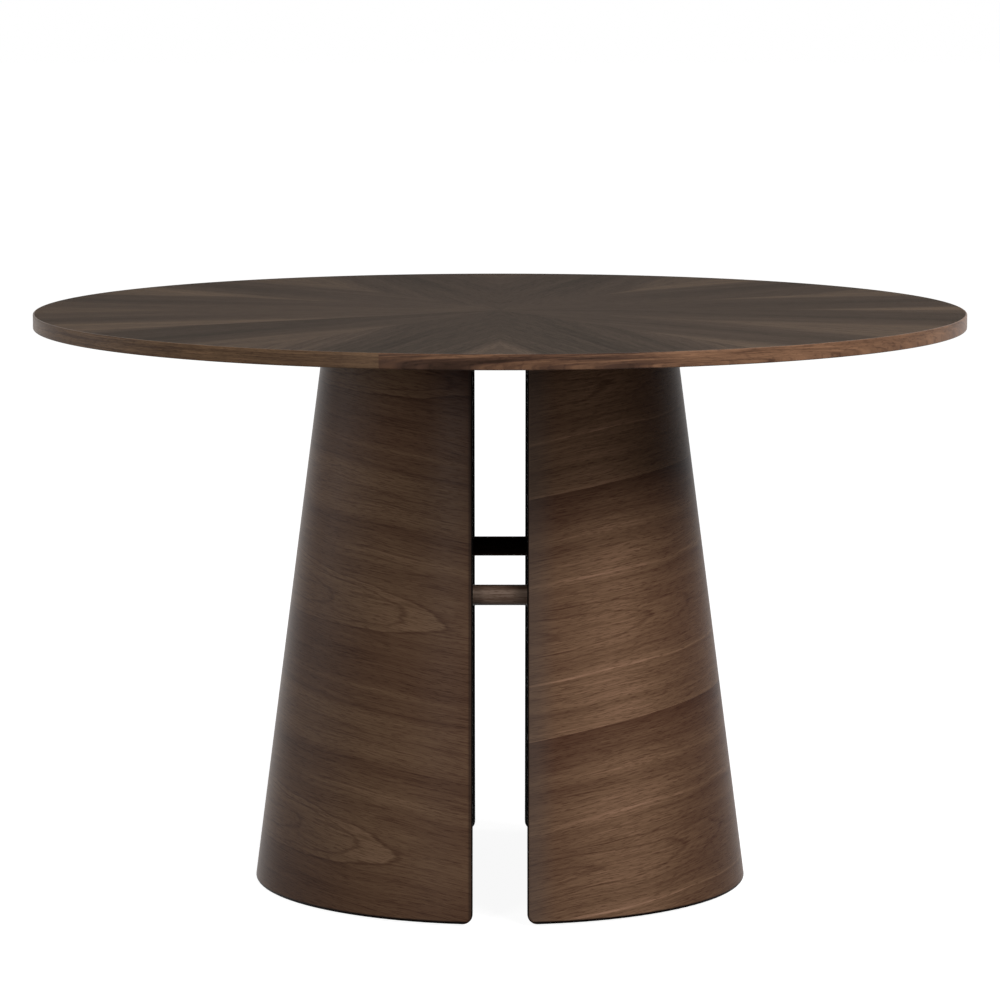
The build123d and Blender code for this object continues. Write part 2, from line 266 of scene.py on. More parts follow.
def add_node(
    tree: Tree, kind: str, inputs: dict[Any, Any] | tuple[Any, ...] = (), **settings: Any,
) -> bpy.types.Node:
    """Add one shader node with its settings and links.

    Args:
        tree: Node tree that it joins.
        kind: Blender's name of the node's type, after "ShaderNode".
        inputs: Constants, sockets or nodes that feed its inputs, in their order, or by name or number.
        **settings: Values of the node's own properties.

    Returns:
        The new node.
    """
    node = tree.nodes.new(f"ShaderNode{kind}")
    for name, value in settings.items():
        setattr(node, name, value)
    for key, value in inputs.items() if isinstance(inputs, dict) else enumerate(inputs):
        source = first_output(value)
        if isinstance(source, bpy.types.NodeSocket):
            tree.links.new(source, node.inputs[key])
        else:
            node.inputs[key].default_value = source
    return node


def set_stops(ramp: bpy.types.Node, places: Iterable[float], colours: Iterable[Colour]) -> bpy.types.Node:
    """Give a colour ramp its stops.

    Args:
        ramp: Colour ramp node.
        places: Places from 0 to 1, in rising order.
        colours: Linear colour at each of them.

    Returns:
        The same node.
    """
    stops = list(zip(places, colours, strict=True))
    elements = ramp.color_ramp.elements
    elements[0].position, elements[0].color = stops[0]
    elements[1].position, elements[1].color = stops[-1]
    for place, colour in stops[1:-1]:
        elements.new(place).color = colour
    return ramp


def object_axes(tree: Tree) -> Any:
    """The X, Y and Z of a place on the piece, as outputs."""
    place = add_node(tree, "TexCoord").outputs["Object"]
    return add_node(tree, "SeparateXYZ", (place,)).outputs


def grain_axes(tree: Tree) -> tuple[Any, Any, Any]:
    """The piece's grain map, and its distances along the grain and across it."""
    flat = add_node(tree, "UVMap", uv_map=GRAIN_MAP)
    axes = add_node(tree, "SeparateXYZ", (flat,)).outputs
    return flat, axes["X"], axes["Y"]


def swung(tree: Tree, level: Any, depth: float, base: Any = 0.0) -> bpy.types.Node:
    """A base value, plus a depth times how far a level lies above its middle of 0.5."""
    above_middle = add_node(tree, "Math", (level, 0.5), operation="SUBTRACT")
    return add_node(tree, "Math", (above_middle, depth, base), operation="MULTIPLY_ADD")


def drawn(tree: Tree, place: Any, length: float, levels: Levels) -> bpy.types.Node:
    """Levels drawn at chosen places along a length.

    Args:
        tree: Node tree.
        place: Distance from the start.
        length: Whole length, at which the last level lies.
        levels: Places in any unit, in rising order, each with its level.

    Returns:
        Node of the level there.
    """
    share = add_node(tree, "Math", (place, length), operation="DIVIDE")
    ramp = add_node(tree, "ValToRGB", (share,))
    places, tones = zip(*levels)
    return set_stops(ramp, [start / places[-1] for start in places], map(grey, tones))


def ring_radius(
    tree: Tree, off_middle: Any, from_end: Any, spread: float, core: float = 0.0,
) -> bpy.types.Node:
    """Radius of the growth ring at a place in a crown figure.

    It is the root of the squared distance off the crown's middle line, plus the squared depth of the crown,
    which grows evenly along the grain, plus the squared radius of its core.

    Args:
        tree: Node tree.
        off_middle: Distance off the crown's middle line.
        from_end: Distance along the grain from the crown's end.
        spread: How fast the crown's depth grows along the grain.
        core: Smallest ring radius, which rounds the crown's tips.

    Returns:
        Node of the radius.
    """
    depth = add_node(tree, "Math", (from_end, spread), operation="MULTIPLY")
    depth_squared = add_node(tree, "Math", (depth, depth, core**2), operation="MULTIPLY_ADD")
    ring_squared = add_node(tree, "Math", (off_middle, off_middle, depth_squared), operation="MULTIPLY_ADD")
    return add_node(tree, "Math", (ring_squared,), operation="SQRT")


def tinted(tree: Tree, colour: Any, tint: str, most: float, distance: Any, span_mm: Pair) -> Any:
    """A colour with some of another mixed in, less and less of it over a span of distance.

    Args:
        tree: Node tree.
        colour: Colour to change.
        tint: Colour that is mixed in.
        most: Greatest share of it.
        distance: Distance, in metres.
        span_mm: Distances at which that share is full, and at which it has faded out.

    Returns:
        Colour socket.
    """
    full, gone = span_mm
    share = add_node(tree, "MapRange", {
        "Value": distance, "From Min": full * MM, "From Max": gone * MM, "To Min": most, "To Max": 0.0,
    }, interpolation_type="SMOOTHSTEP")
    mix = add_node(tree, "Mix", (share,), data_type="RGBA")
    plain, mixed_in = [socket for socket in mix.inputs if socket.type == "RGBA"]
    tree.links.new(first_output(colour), plain)
    mixed_in.default_value = linear(tint)
    return next(socket for socket in mix.outputs if socket.type == "RGBA")


def new_material(name: str) -> Material:
    """An empty node material."""
    material = bpy.data.materials.new(name)
    material.use_nodes = True
    material.node_tree.nodes.clear()
    return material


def finish_with(material: Material, inputs: dict[str, Any]) -> Material:
    """The material, closed with one Principled shader that has these inputs."""
    shader = add_node(material.node_tree, "BsdfPrincipled", inputs)
    add_node(material.node_tree, "OutputMaterial", {"Surface": shader})
    return material


# ---- Walnut ----


@dataclass(frozen=True)
class Marks:
    """One kind of mark in the wood, drawn as noise that is stretched along the grain.

    Attributes:
        length_mm: Length of a mark.
        width_mm: Its width.
        depth: How strongly it changes the tone, or how many millimetres it moves the grain or a border.
    """

    length_mm: float
    width_mm: float
    depth: float = 0.0

    def noise(self, tree: Tree, grain: Any, kind: Noise) -> bpy.types.Node:
        """The marks themselves.

        Args:
            tree: Node tree.
            grain: Vector of distance along and across the grain, in metres.
            kind: Which marks they are.

        Returns:
            Noise node, from 0 to 1 with its middle at 0.5.
        """
        offset, detail = kind.value
        per_metre = (1 / (self.length_mm * MM), 1 / (self.width_mm * MM), 1.0)
        scaled = add_node(tree, "VectorMath", (grain, per_metre, (offset,) * 3), operation="MULTIPLY_ADD")
        return add_node(tree, "TexNoise", {
            "Vector": scaled, "Scale": 1.0, "Detail": detail, "Roughness": NOISE_ROUGHNESS,
        })


@dataclass(frozen=True, kw_only=True)
class WalnutFinish:
    """American walnut under a clear finish: dark pores and fibres run along the grain, under a drift of tone.

    The finish fills most of the pores, so the surface is smooth, with a soft sheen only at a low angle.

    Attributes:
        name: Name of the material.
        shades: Colours from the darkest vein to the palest streak, at SHADE_STOPS on the tone scale.
        tone: Middle of the tone scale for this piece.
        slow: Slow drift of tone.
        line: Growth lines.
        fibre: Fibre streaks.
        pore: Pores. Real ones are 0.2 mm wide, so they are drawn coarser to show.
        pore_range: Noise at which a pore starts, and at which it is fully dark.
        vein: Bands whose borders are drawn as fine dark veins.
        vein_share: Share of the bands' own noise range that a vein takes up, which sets how fine it is.
        roughness: Roughness of the finish.
        specular: Strength of its reflection.
        pore_relief_mm: Depth to which the finish sinks over the pores.
    """

    name: str
    shades: Shades = ("2b1810", "402a1f", "4f392b", "5e4736", "765a48", "92735f")
    tone: float
    slow: Marks = Marks(420.0, 42.0, 0.18)
    line: Marks = Marks(260.0, 4.5, 0.11)
    fibre: Marks = Marks(28.0, 1.4, 0.17)
    pore: Marks = Marks(8.0, 1.1, 0.16)
    pore_range: Pair = (0.55, 0.66)
    vein: Marks = Marks(380.0, 9.0, 0.13)
    vein_share: float = 0.028
    roughness: float = 0.33
    specular: float = 0.022
    pore_relief_mm: float = 0.05

    def figure(self, tree: Tree) -> tuple[Any, Any]:
        """The grain vector on this piece, and the tone that its figure adds, from -0.5 to 0.5, or None."""
        return add_node(tree, "UVMap", uv_map=GRAIN_MAP), None

    def toned(self, tree: Tree, colour: Any) -> Any:
        """The colour after any local change that this kind of piece makes to it. Here there is none."""
        return colour

    def material(self) -> Material:
        """Build the finish.

        The tone is its middle value, plus the figure's own tone, plus the drift, lines and fibres about their
        middles, less the pores and the veins. A ramp then turns the tone to a colour.
        """
        material = new_material(self.name)
        tree = material.node_tree
        grain, figure_tone = self.figure(tree)
        tone: Any = self.tone
        if figure_tone is not None:
            tone = add_node(tree, "Math", (figure_tone, self.tone), operation="ADD")
        for marks, kind in ((self.slow, Noise.SLOW), (self.line, Noise.LINE), (self.fibre, Noise.FIBRE)):
            tone = swung(tree, marks.noise(tree, grain, kind), 2 * marks.depth, tone)
        pore_start, pore_full = self.pore_range
        pores = add_node(tree, "MapRange", {
            "Value": self.pore.noise(tree, grain, Noise.PORE), "From Min": pore_start, "From Max": pore_full,
        })
        tone = add_node(tree, "Math", (pores, -self.pore.depth, tone), operation="MULTIPLY_ADD")
        bands = self.vein.noise(tree, grain, Noise.VEIN)
        off_border = add_node(tree, "Math", (bands, 0.5), operation="SUBTRACT")
        off_border = add_node(tree, "Math", (off_border,), operation="ABSOLUTE")
        veins = add_node(tree, "MapRange", {
            "Value": off_border, "From Min": 0.0, "From Max": self.vein_share, "To Min": 1.0, "To Max": 0.0,
        }, interpolation_type="SMOOTHSTEP")
        tone = add_node(tree, "Math", (veins, -self.vein.depth, tone), operation="MULTIPLY_ADD")
        ramp = set_stops(add_node(tree, "ValToRGB", (tone,)), SHADE_STOPS, map(linear, self.shades))
        relief = add_node(tree, "Math", (pores, -1.0), operation="MULTIPLY")
        deepest = self.pore_relief_mm * MM
        bump = add_node(tree, "Bump", {"Height": relief, "Distance": deepest, "Strength": 1.0})
        return finish_with(material, {
            "Base Color": self.toned(tree, ramp), "Roughness": self.roughness,
            "Specular IOR Level": self.specular, "Normal": bump,
        })


@dataclass(frozen=True, kw_only=True)
class ShellVeneer(WalnutFinish):
    """Crown-cut walnut leaves, laid one above another round the cone, with the grain lying across it.

    The leaves are slices of one flitch, slipped and not turned, so each repeats the figure of the one below.
    The grain map is the cone rolled out flat: distance round it from the middle of the side, and height up
    from the foot.

    Attributes:
        joint_mm: Height of the lowest joint between two leaves.
        crown_mm: Height of the crown's middle line above a joint.
        crown_far_mm: Distance round the cone at which the crown's rings come closest to its middle line.
        crown_spread: How fast the rings open out along the grain.
        crown_core_mm: Smallest ring radius, which rounds the crown's tips.
        streaks: Tone up one leaf, as (millimetres above the joint, level about 0.5). The last place is the
            leaf's height.
        crown_rings: Tone of the crown's rings, as (ring radius in millimetres, level about 0.5).
        streak_depth: Strength of the streaks.
        ring_depth: Strength of the crown's rings.
        wander: How far the grain wanders from a straight line.
        wobble: How far the crown's rings wobble about their curve.
        sheen_and_shade_depth: How much paler the leaves are where the shell's value "pale" is full, as painted
            sheen.
        slit_tint: Colour mixed into the veneer beside the slit.
        slit_tint_share: Greatest share of that colour.
        slit_tint_mm: Distances from the slit's middle at which that share is full, and at which it has gone.
        foot_shade: Colour of the painted shade along the eased edge at the foot, which turns down to the
            floor.
        foot_shade_mm: Heights above the floor at which it still covers the veneer, and at which it ends.
    """

    joint_mm: float
    crown_mm: float
    crown_far_mm: float
    crown_spread: float = 0.1
    crown_core_mm: float = 4.0
    streaks: Levels
    crown_rings: Levels
    streak_depth: float
    ring_depth: float
    wander: Marks = Marks(170.0, 60.0, 7.0)
    wobble: Marks = Marks(55.0, 16.0, 3.0)
    sheen_and_shade_depth: float
    slit_tint: str = "48423e"
    slit_tint_share: float = 0.42
    slit_tint_mm: Pair = (38.0, 75.0)
    foot_shade: str = "0c0806"
    foot_shade_mm: Pair = (6.0, 8.0)

    def toned(self, tree: Tree, colour: Any) -> Any:
        """The colour, tinted beside the slit, with painted shade along the foot."""
        axes = object_axes(tree)
        off_slit = add_node(tree, "Math", (axes["X"],), operation="ABSOLUTE")
        slit_tinted = tinted(tree, colour, self.slit_tint, self.slit_tint_share, off_slit, self.slit_tint_mm)
        # Painted shade darkens the eased edge at the foot
        return tinted(tree, slit_tinted, self.foot_shade, 1.0, axes["Z"], self.foot_shade_mm)

    def figure(self, tree: Tree) -> tuple[Any, Any]:
        """Grain vector and tone of a crown-cut leaf.

        The place in the leaf is the height above the joint, wrapped at the leaf's height. Streaks are drawn
        at chosen places in the leaf, and the crown's fine rings at chosen radii.
        """
        flat, along, height = grain_axes(tree)
        leaf = self.streaks[-1][0] * MM
        above_joint = add_node(tree, "Math", (height, self.joint_mm * MM), operation="SUBTRACT")
        in_leaf = add_node(tree, "Math", (above_joint, leaf), operation="FLOORED_MODULO")
        wander = self.wander.noise(tree, flat, Noise.WANDER)
        place = swung(tree, wander, 2 * self.wander.depth * MM, in_leaf)

        off_middle = add_node(tree, "Math", (place, self.crown_mm * MM), operation="SUBTRACT")
        from_far = add_node(tree, "Math", (along, self.crown_far_mm * MM), operation="SUBTRACT")
        ring = ring_radius(tree, off_middle, from_far, self.crown_spread, self.crown_core_mm * MM)
        wobble = self.wobble.noise(tree, flat, Noise.WOBBLE)
        ring = swung(tree, wobble, 2 * self.wobble.depth * MM, ring)

        outermost = self.crown_rings[-1][0] * MM
        ring_tone = swung(tree, drawn(tree, ring, outermost, self.crown_rings), self.ring_depth)
        tone = swung(tree, drawn(tree, place, leaf, self.streaks), self.streak_depth, ring_tone)
        # The shell's value "pale" is a painted sheen in a strip round the cone, and painted shade where it is
        # below 0
        pale = add_node(tree, "Attribute", attribute_name="pale").outputs["Fac"]
        tone = add_node(tree, "Math", (pale, self.sheen_and_shade_depth, tone), operation="MULTIPLY_ADD")
        return add_node(tree, "CombineXYZ", (along, place, 0.0)), tone


@dataclass(frozen=True, kw_only=True)
class SunburstVeneer(WalnutFinish):
    """Walnut leaves of the sunburst, with the grain of each lying along its dark edge.

    The grain map is the distance along the leaf's dark edge and square to it. Vertex values of the leaf add
    its own figure: how far a point lies inside the pale streak, how pale that is, the leaf's tone with some
    painted light, and how striped it is.

    Attributes:
        streak_edge_mm: Half the width over which the streak's border fades.
        streak_tones: Tone on the dark side of that border and on its pale side.
        streak_depth: Strength of the pale streak.
        ragged: How ragged that border is.
        edge_depth: How much darker a leaf is beside its dark edge, out towards the rim.
        edge_mm: Width of that darker strip.
        rim_range: Distances from the table's axis between which it and the stripes come in.
        stripe: Stripes of a striped leaf.
        stripe_range: Noise at which a stripe is darkest and palest.
    """

    streak_edge_mm: float = 13.0
    streak_tones: Pair = (-0.12, 0.5)
    streak_depth: float = 0.4
    ragged: Marks = Marks(260.0, 7.0, 22.0)
    edge_depth: float = 0.10
    edge_mm: float = 45.0
    rim_range: Pair = (0.15, 0.5)
    stripe: Marks = Marks(600.0, 13.0, 0.24)
    stripe_range: Pair = (0.4, 0.6)

    def figure(self, tree: Tree) -> tuple[Any, Any]:
        """Grain vector and tone of one leaf.

        The streak's tone rises from the dark side to the pale side over the width of its soft edge, which a
        little noise makes ragged, and is scaled by how pale this leaf's streak is.
        """
        _, along, across = grain_axes(tree)
        own = {name: add_node(tree, "Attribute", attribute_name=name).outputs["Fac"]
               for name in ("slice", "reach", "pale", "leaf_tone_and_light", "striped")}
        grain = add_node(tree, "CombineXYZ", (along, across, own["slice"]))
        ragged = self.ragged.noise(tree, grain, Noise.RAGGED)
        inside = swung(tree, ragged, 2 * self.ragged.depth * MM, own["reach"])
        dark_tone, pale_tone = self.streak_tones
        fade = self.streak_edge_mm * MM
        streak = add_node(tree, "MapRange", {
            "Value": inside, "From Min": -fade, "From Max": fade, "To Min": dark_tone, "To Max": pale_tone,
        }, interpolation_type="SMOOTHSTEP")
        tone = add_node(tree, "Math", (streak, own["pale"]), operation="MULTIPLY")
        tone = add_node(tree, "Math", (tone, self.streak_depth, own["leaf_tone_and_light"]), operation="MULTIPLY_ADD")

        beside_edge = add_node(tree, "MapRange", {
            "Value": across, "From Min": 0.0, "From Max": self.edge_mm * MM, "To Min": -self.edge_depth,
            "To Max": 0.0,
        }, interpolation_type="SMOOTHSTEP")
        rim_start, rim_full = self.rim_range
        towards_rim = add_node(tree, "MapRange", {
            "Value": along, "From Min": rim_start, "From Max": rim_full,
        }, interpolation_type="SMOOTHSTEP")
        tone = add_node(tree, "Math", (beside_edge, towards_rim, tone), operation="MULTIPLY_ADD")

        darkest, palest = self.stripe_range
        swing = self.stripe.depth / 2
        stripes = add_node(tree, "MapRange", {
            "Value": self.stripe.noise(tree, grain, Noise.STRIPE), "From Min": darkest, "From Max": palest,
            "To Min": -swing, "To Max": swing,
        })
        stripes = add_node(tree, "Math", (stripes, towards_rim), operation="MULTIPLY")
        return grain, add_node(tree, "Math", (stripes, own["striped"], tone), operation="MULTIPLY_ADD")


@dataclass(frozen=True, kw_only=True)
class LippingWood(WalnutFinish):
    """Solid walnut of the lippings. Black painted shade from the slit runs a little way onto the front.

    Attributes:
        stain: Colour of that painted shade.
        slit_shade_mm: Distances from the slit's middle at which it still covers the wood, and at which it
            ends.
    """

    pore_relief_mm: float = 0.0
    # Black of the painted shade beside the slit
    stain: str = "0a0807"
    slit_shade_mm: Pair = (35.3, 36.6)

    def toned(self, tree: Tree, colour: Any) -> Any:
        """The colour, with painted shade beside the slit."""
        off_slit = add_node(tree, "Math", (object_axes(tree)["X"],), operation="ABSOLUTE")
        return tinted(tree, colour, self.stain, 1.0, off_slit, self.slit_shade_mm)


@dataclass(frozen=True, kw_only=True)
class TurnedWalnut(WalnutFinish):
    """A bar turned from straight-grained walnut, with painted highlight and shade as bands along it.

    Attributes:
        bar_radius: Radius of the bar.
        bands: Painted light round the bar, as (degrees from the table's axis over the top, level about 0.5).
        painted_light_depth: Strength of those bands.
    """

    bar_radius: float = 13.0 * MM
    bands: Levels
    painted_light_depth: float = 0.9

    def figure(self, tree: Tree) -> tuple[Any, Any]:
        """Grain vector, and the painted light of the band that a place round the bar lies in."""
        flat, _, round_bar = grain_axes(tree)
        band = drawn(tree, round_bar, 2 * math.pi * self.bar_radius, self.bands)
        return flat, swung(tree, band, self.painted_light_depth)


@dataclass(frozen=True, kw_only=True)
class BackingVeneer(WalnutFinish):
    """Sealed walnut of the balancing veneer. It has no grain map, so its grain lies along X."""

    def figure(self, tree: Tree) -> tuple[Any, Any]:
        """The place itself as grain vector, and no tone."""
        return add_node(tree, "TexCoord").outputs["Object"], None


@dataclass(frozen=True, kw_only=True)
class EdgeBandVeneer(WalnutFinish):
    """Walnut edge band, with the grain along the rim. One length is crown cut for its first stretch.

    Attributes:
        crown_until: Length of the crown-cut stretch from the band's start.
        crown_fade_share: Share of that stretch after which the crown fades.
        crown_height: Height of the crown's middle line above the underside.
        crown_taper: How fast the crown's rings open out along the band.
        crown_stripe: Dark stripes of the crown, which follow its rings.
        stripe_range: Noise at which a stripe is darkest, and at which it ends.
        stripe_tones: Tones there.
        crown_tone: How much darker the wood between those stripes is than the rest of the band.
    """

    slow: Marks = Marks(160.0, 14.0, 0.18)
    fibre: Marks = Marks(26.0, 1.4, 0.17)
    pore: Marks = Marks(8.0, 1.1, 0.10)
    crown_until: float = 0.0
    crown_fade_share: float = 0.75
    crown_height: float = 4.0 * MM
    crown_taper: float = 0.045
    crown_stripe: Marks = Marks(160.0, 3.2, 0.7)
    stripe_range: Pair = (0.35, 0.6)
    stripe_tones: Pair = (-0.5, 0.15)
    crown_tone: float = -0.22

    def figure(self, tree: Tree) -> tuple[Any, Any]:
        """Grain vector and tone of a band. The stripes fade out where the crown ends."""
        flat, along, height = grain_axes(tree)
        if not self.crown_until:
            return flat, None
        off_middle = add_node(tree, "Math", (height, self.crown_height), operation="SUBTRACT")
        to_end = add_node(tree, "Math", (self.crown_until, along), operation="SUBTRACT")
        ring = ring_radius(tree, off_middle, to_end, self.crown_taper)
        grain = add_node(tree, "CombineXYZ", (along, ring, 0.0))
        (darkest, end), (dark_tone, end_tone) = self.stripe_range, self.stripe_tones
        stripes = add_node(tree, "MapRange", {
            "Value": self.crown_stripe.noise(tree, grain, Noise.CROWN_STRIPE), "From Min": darkest,
            "From Max": end, "To Min": dark_tone, "To Max": end_tone,
        })
        fade_start = self.crown_fade_share * self.crown_until
        fade = add_node(tree, "MapRange", {
            "Value": along, "From Min": fade_start, "From Max": self.crown_until,
            "To Min": self.crown_stripe.depth, "To Max": 0.0,
        }, interpolation_type="SMOOTHSTEP")
        darker = add_node(tree, "Math", (stripes, self.crown_tone), operation="ADD")
        return grain, add_node(tree, "Math", (darker, fade), operation="MULTIPLY")


# ---- Other finishes ----


@dataclass(frozen=True)
class StainedWood:
    """Wood under a dark matt stain: the grain shows only as a faint streak, and hardly anything shines.

    Attributes:
        name: Name of the material.
        dark: Colour of the stain in the pores.
        light: Colour between them.
        ply_mm: Thickness of one ply, for plywood whose layers show at its edges, or 0 for solid wood.
        ply_depth: How strongly those layers show.
        streak_mm: Length and width of the streaks, along X and across it.
        roughness: Roughness of the stain.
        specular: Strength of its reflection.
    """

    name: str
    dark: str
    light: str
    ply_mm: float = 0.0
    ply_depth: float = 0.3
    streak_mm: Pair = (40.0, 1.5)
    roughness: float = 0.75
    specular: float = 0.15

    def material(self) -> Material:
        """Build the finish: streaks from stretched noise, and plies as bands of height if there are any."""
        material = new_material(self.name)
        tree = material.node_tree
        place = add_node(tree, "TexCoord").outputs["Object"]
        length, width = self.streak_mm
        per_metre = (1 / (length * MM), 1 / (width * MM), 1 / (width * MM))
        scaled = add_node(tree, "VectorMath", (place, per_metre), operation="MULTIPLY")
        tone: Any = add_node(tree, "TexNoise", {"Vector": scaled, "Scale": 1.0, "Detail": 2.0})
        if self.ply_mm:
            # One wave of the sine is a dark ply and a light one
            height = object_axes(tree)["Z"]
            layer = add_node(tree, "Math", (height, math.pi / (self.ply_mm * MM)), operation="MULTIPLY")
            layer = add_node(tree, "Math", (layer,), operation="SINE")
            tone = add_node(tree, "Math", (layer, self.ply_depth, tone), operation="MULTIPLY_ADD")
        ramp = add_node(tree, "ValToRGB", (tone,))
        set_stops(ramp, STREAK_STOPS, (linear(self.dark), linear(self.light)))
        return finish_with(material, {
            "Base Color": ramp, "Roughness": self.roughness, "Specular IOR Level": self.specular,
        })


@dataclass(frozen=True)
class SpeckledFinish:
    """A finish whose grain has no direction, such as pressed fibreboard or moulded nylon.

    Attributes:
        name: Name of the material.
        dark: Colour of the specks.
        light: Colour between them.
        speck_mm: Size of one speck.
        roughness: Roughness of the surface.
        metallic: 1 for metal, else 0.
        relief_mm: Depth of the specks.
    """

    name: str
    dark: str
    light: str
    speck_mm: float
    roughness: float
    metallic: float = 0.0
    relief_mm: float = 0.02

    def material(self) -> Material:
        """Build the finish: round specks in the colour, and the same specks as a slight relief."""
        material = new_material(self.name)
        tree = material.node_tree
        place = add_node(tree, "TexCoord").outputs["Object"]
        per_metre = 1 / (self.speck_mm * MM)
        specks = add_node(tree, "TexNoise", {"Vector": place, "Scale": per_metre, "Detail": 3.0})
        ramp = add_node(tree, "ValToRGB", (specks,))
        set_stops(ramp, SPECK_STOPS, (linear(self.dark), linear(self.light)))
        bump = add_node(tree, "Bump", {
            "Height": specks, "Distance": self.relief_mm * MM, "Strength": SPECK_RELIEF_SHARE,
        })
        return finish_with(material, {
            "Base Color": ramp, "Roughness": self.roughness, "Metallic": self.metallic, "Normal": bump,
        })


# ---- Tabletop ----


@dataclass
class Tabletop:
    """What shows of the veneered disc: 24 sunburst leaves and the edge band in two lengths.

    Attributes:
        radius: Outside radius of the edge band.
        board_radius: Radius of the board, at which the band starts.
        height: Height of the upper face.
        leaf_bottom: Height of the underside of the face leaves.
        underside: Height of the underside of the top.
        arris: Radius to which the band's outer edges are eased.
        band_joint_degrees: Where the right-hand length of the band starts, at the front left.
        leaf_count: Number of leaves.
        leaf_rings: Rings of points on a leaf, besides its tip.
        leaf_columns: Points across a leaf.
        band_columns: Points along a length of band.
        arris_points: Points round each eased edge of the band's profile.
        side_points: Points up its straight side, with both ends.
        slice_step: How far the noise is moved on from one matched pair of leaves to the next.
        leaf_figures: For each leaf, the distance from its dark edge at which its pale streak starts, in
            millimetres, how pale the streak is, the leaf's own tone with some painted light, and how striped
            it is.
    """

    radius: float
    board_radius: float
    height: float
    leaf_bottom: float
    underside: float
    arris: float = 1.5 * MM
    band_joint_degrees: float = 256.3
    leaf_count: int = 24
    leaf_rings: int = 12
    leaf_columns: int = 31
    band_columns: int = 361
    arris_points: int = 7
    side_points: int = 6
    slice_step: float = 0.35
    # The leaves on the left side are a little lighter, as painted light
    leaf_figures: tuple[tuple[float, float, float, float], ...] = (
        (100, 1.00, 0.00, 0.10), (80, 0.80, 0.00, 0.10), (118, 0.60, 0.00, 0.10), (76, 0.85, 0.00, 0.05),
        (90, 0.60, -0.02, 0.10), (104, 0.40, -0.05, 0.20), (104, 0.40, -0.05, 0.20), (84, 0.60, 0.00, 0.10),
        (78, 0.55, 0.03, 0.05), (70, 0.75, 0.04, 0.05), (104, 0.70, 0.03, 0.05), (112, 0.36, 0.05, 0.05),
        (108, 0.40, 0.05, 0.10), (52, 0.66, 0.05, 0.20), (114, 0.80, -0.09, 0.05), (62, 0.60, -0.02, 0.20),
        (74, 0.62, -0.08, 0.45), (104, 0.65, -0.08, 0.5), (104, 0.65, -0.08, 0.5), (84, 0.60, -0.08, 0.45),
        (96, 0.80, 0.00, 0.10), (60, 0.62, 0.00, 0.20), (74, 0.60, 0.01, 0.10), (112, 0.55, -0.05, 0.10),
    )

    def leaf(self, number: int) -> Surface:
        """One wedge-shaped leaf, as a polar grid with its tip on the table's axis.

        Vertices lie at even radii and angles, on the upper face and again on the lower one. The dark edge of
        a leaf is the one at an odd multiple of the leaf's angle, and the grain runs along it.

        Args:
            number: The leaf, from 1, counted from +X.

        Returns:
            Its surface, with its figure as values of each vertex.
        """
        span = 2 * math.pi / self.leaf_count
        first_angle, last_angle = (number - 1) * span, number * span
        dark_angle = first_angle if (number - 1) % 2 else last_angle
        radii = self.board_radius * np.linspace(0, 1, self.leaf_rings + 1)[1:]
        angles = np.linspace(first_angle, last_angle, self.leaf_columns)
        ring, angle = np.meshgrid(radii, angles, indexing="ij")
        flat = np.stack([ring * np.cos(angle), ring * np.sin(angle)], axis=-1).reshape(-1, 2)
        flat = np.vstack([[0.0, 0.0], flat])
        count = len(flat)
        upper = np.column_stack([flat, np.full(count, self.height)])
        lower = np.column_stack([flat, np.full(count, self.leaf_bottom)])
        ids = 1 + np.arange(ring.size).reshape(ring.shape)
        faces = quads(ids, flip=True)
        faces += [[0, int(a), int(b)] for a, b in zip(ids[0, :-1], ids[0, 1:])]
        faces += [[count + index for index in face[::-1]] for face in faces]
        outline = np.concatenate([[0], border(ids), [0]])
        faces += quads(np.stack([outline + count, outline]))

        along = flat @ [math.cos(dark_angle), math.sin(dark_angle)]
        across = np.abs(flat @ [-math.sin(dark_angle), math.cos(dark_angle)])
        start_mm, pale, leaf_tone_and_light, striped = self.leaf_figures[number - 1]
        slice_offset = self.slice_step * (number // 2)
        own = {"pale": pale, "leaf_tone_and_light": leaf_tone_and_light, "striped": striped, "slice": slice_offset}
        floats = {name: np.full(2 * count, value) for name, value in own.items()}
        floats["reach"] = np.tile(across - start_mm * MM, 2)
        grain = np.tile(np.column_stack([along, across]), (2, 1))
        return Surface(np.vstack([upper, lower]), faces, grain, floats)

    def band(self, start_degrees: float) -> Surface:
        """Half of the edge band: a profile with two eased outer edges, carried half way round the rim.

        The profile is a closed loop of radius and height from the inner bottom corner. Its eased edges are
        quarter circles. The grain runs round the rim.

        Args:
            start_degrees: Angle from +X at which it starts.

        Returns:
            Its surface, closed at both ends.
        """
        turn = np.linspace(0, math.pi / 2, self.arris_points)
        grows, shrinks = self.arris * (1 - np.cos(turn)), self.arris * (1 - np.sin(turn))
        lower = np.column_stack([self.radius - shrinks, self.underside + grows])
        upper = np.column_stack([self.radius - grows, self.height - shrinks])
        side = np.linspace(lower[-1], upper[0], self.side_points)[1:-1]
        profile = np.vstack([[[self.board_radius, self.underside]], lower, side, upper,
                             [[self.board_radius, self.height]]])
        turned = np.linspace(0, math.pi, self.band_columns)
        angle = math.radians(start_degrees) + turned
        points = np.stack([
            profile[:, 0] * np.cos(angle)[:, None],
            profile[:, 0] * np.sin(angle)[:, None],
            np.broadcast_to(profile[:, 1], (len(angle), len(profile))),
        ], axis=-1)
        return swept(points, self.radius * turned, flip=True)

    def build(self) -> None:
        """Make the leaves and the two lengths of edge band, and dress them."""
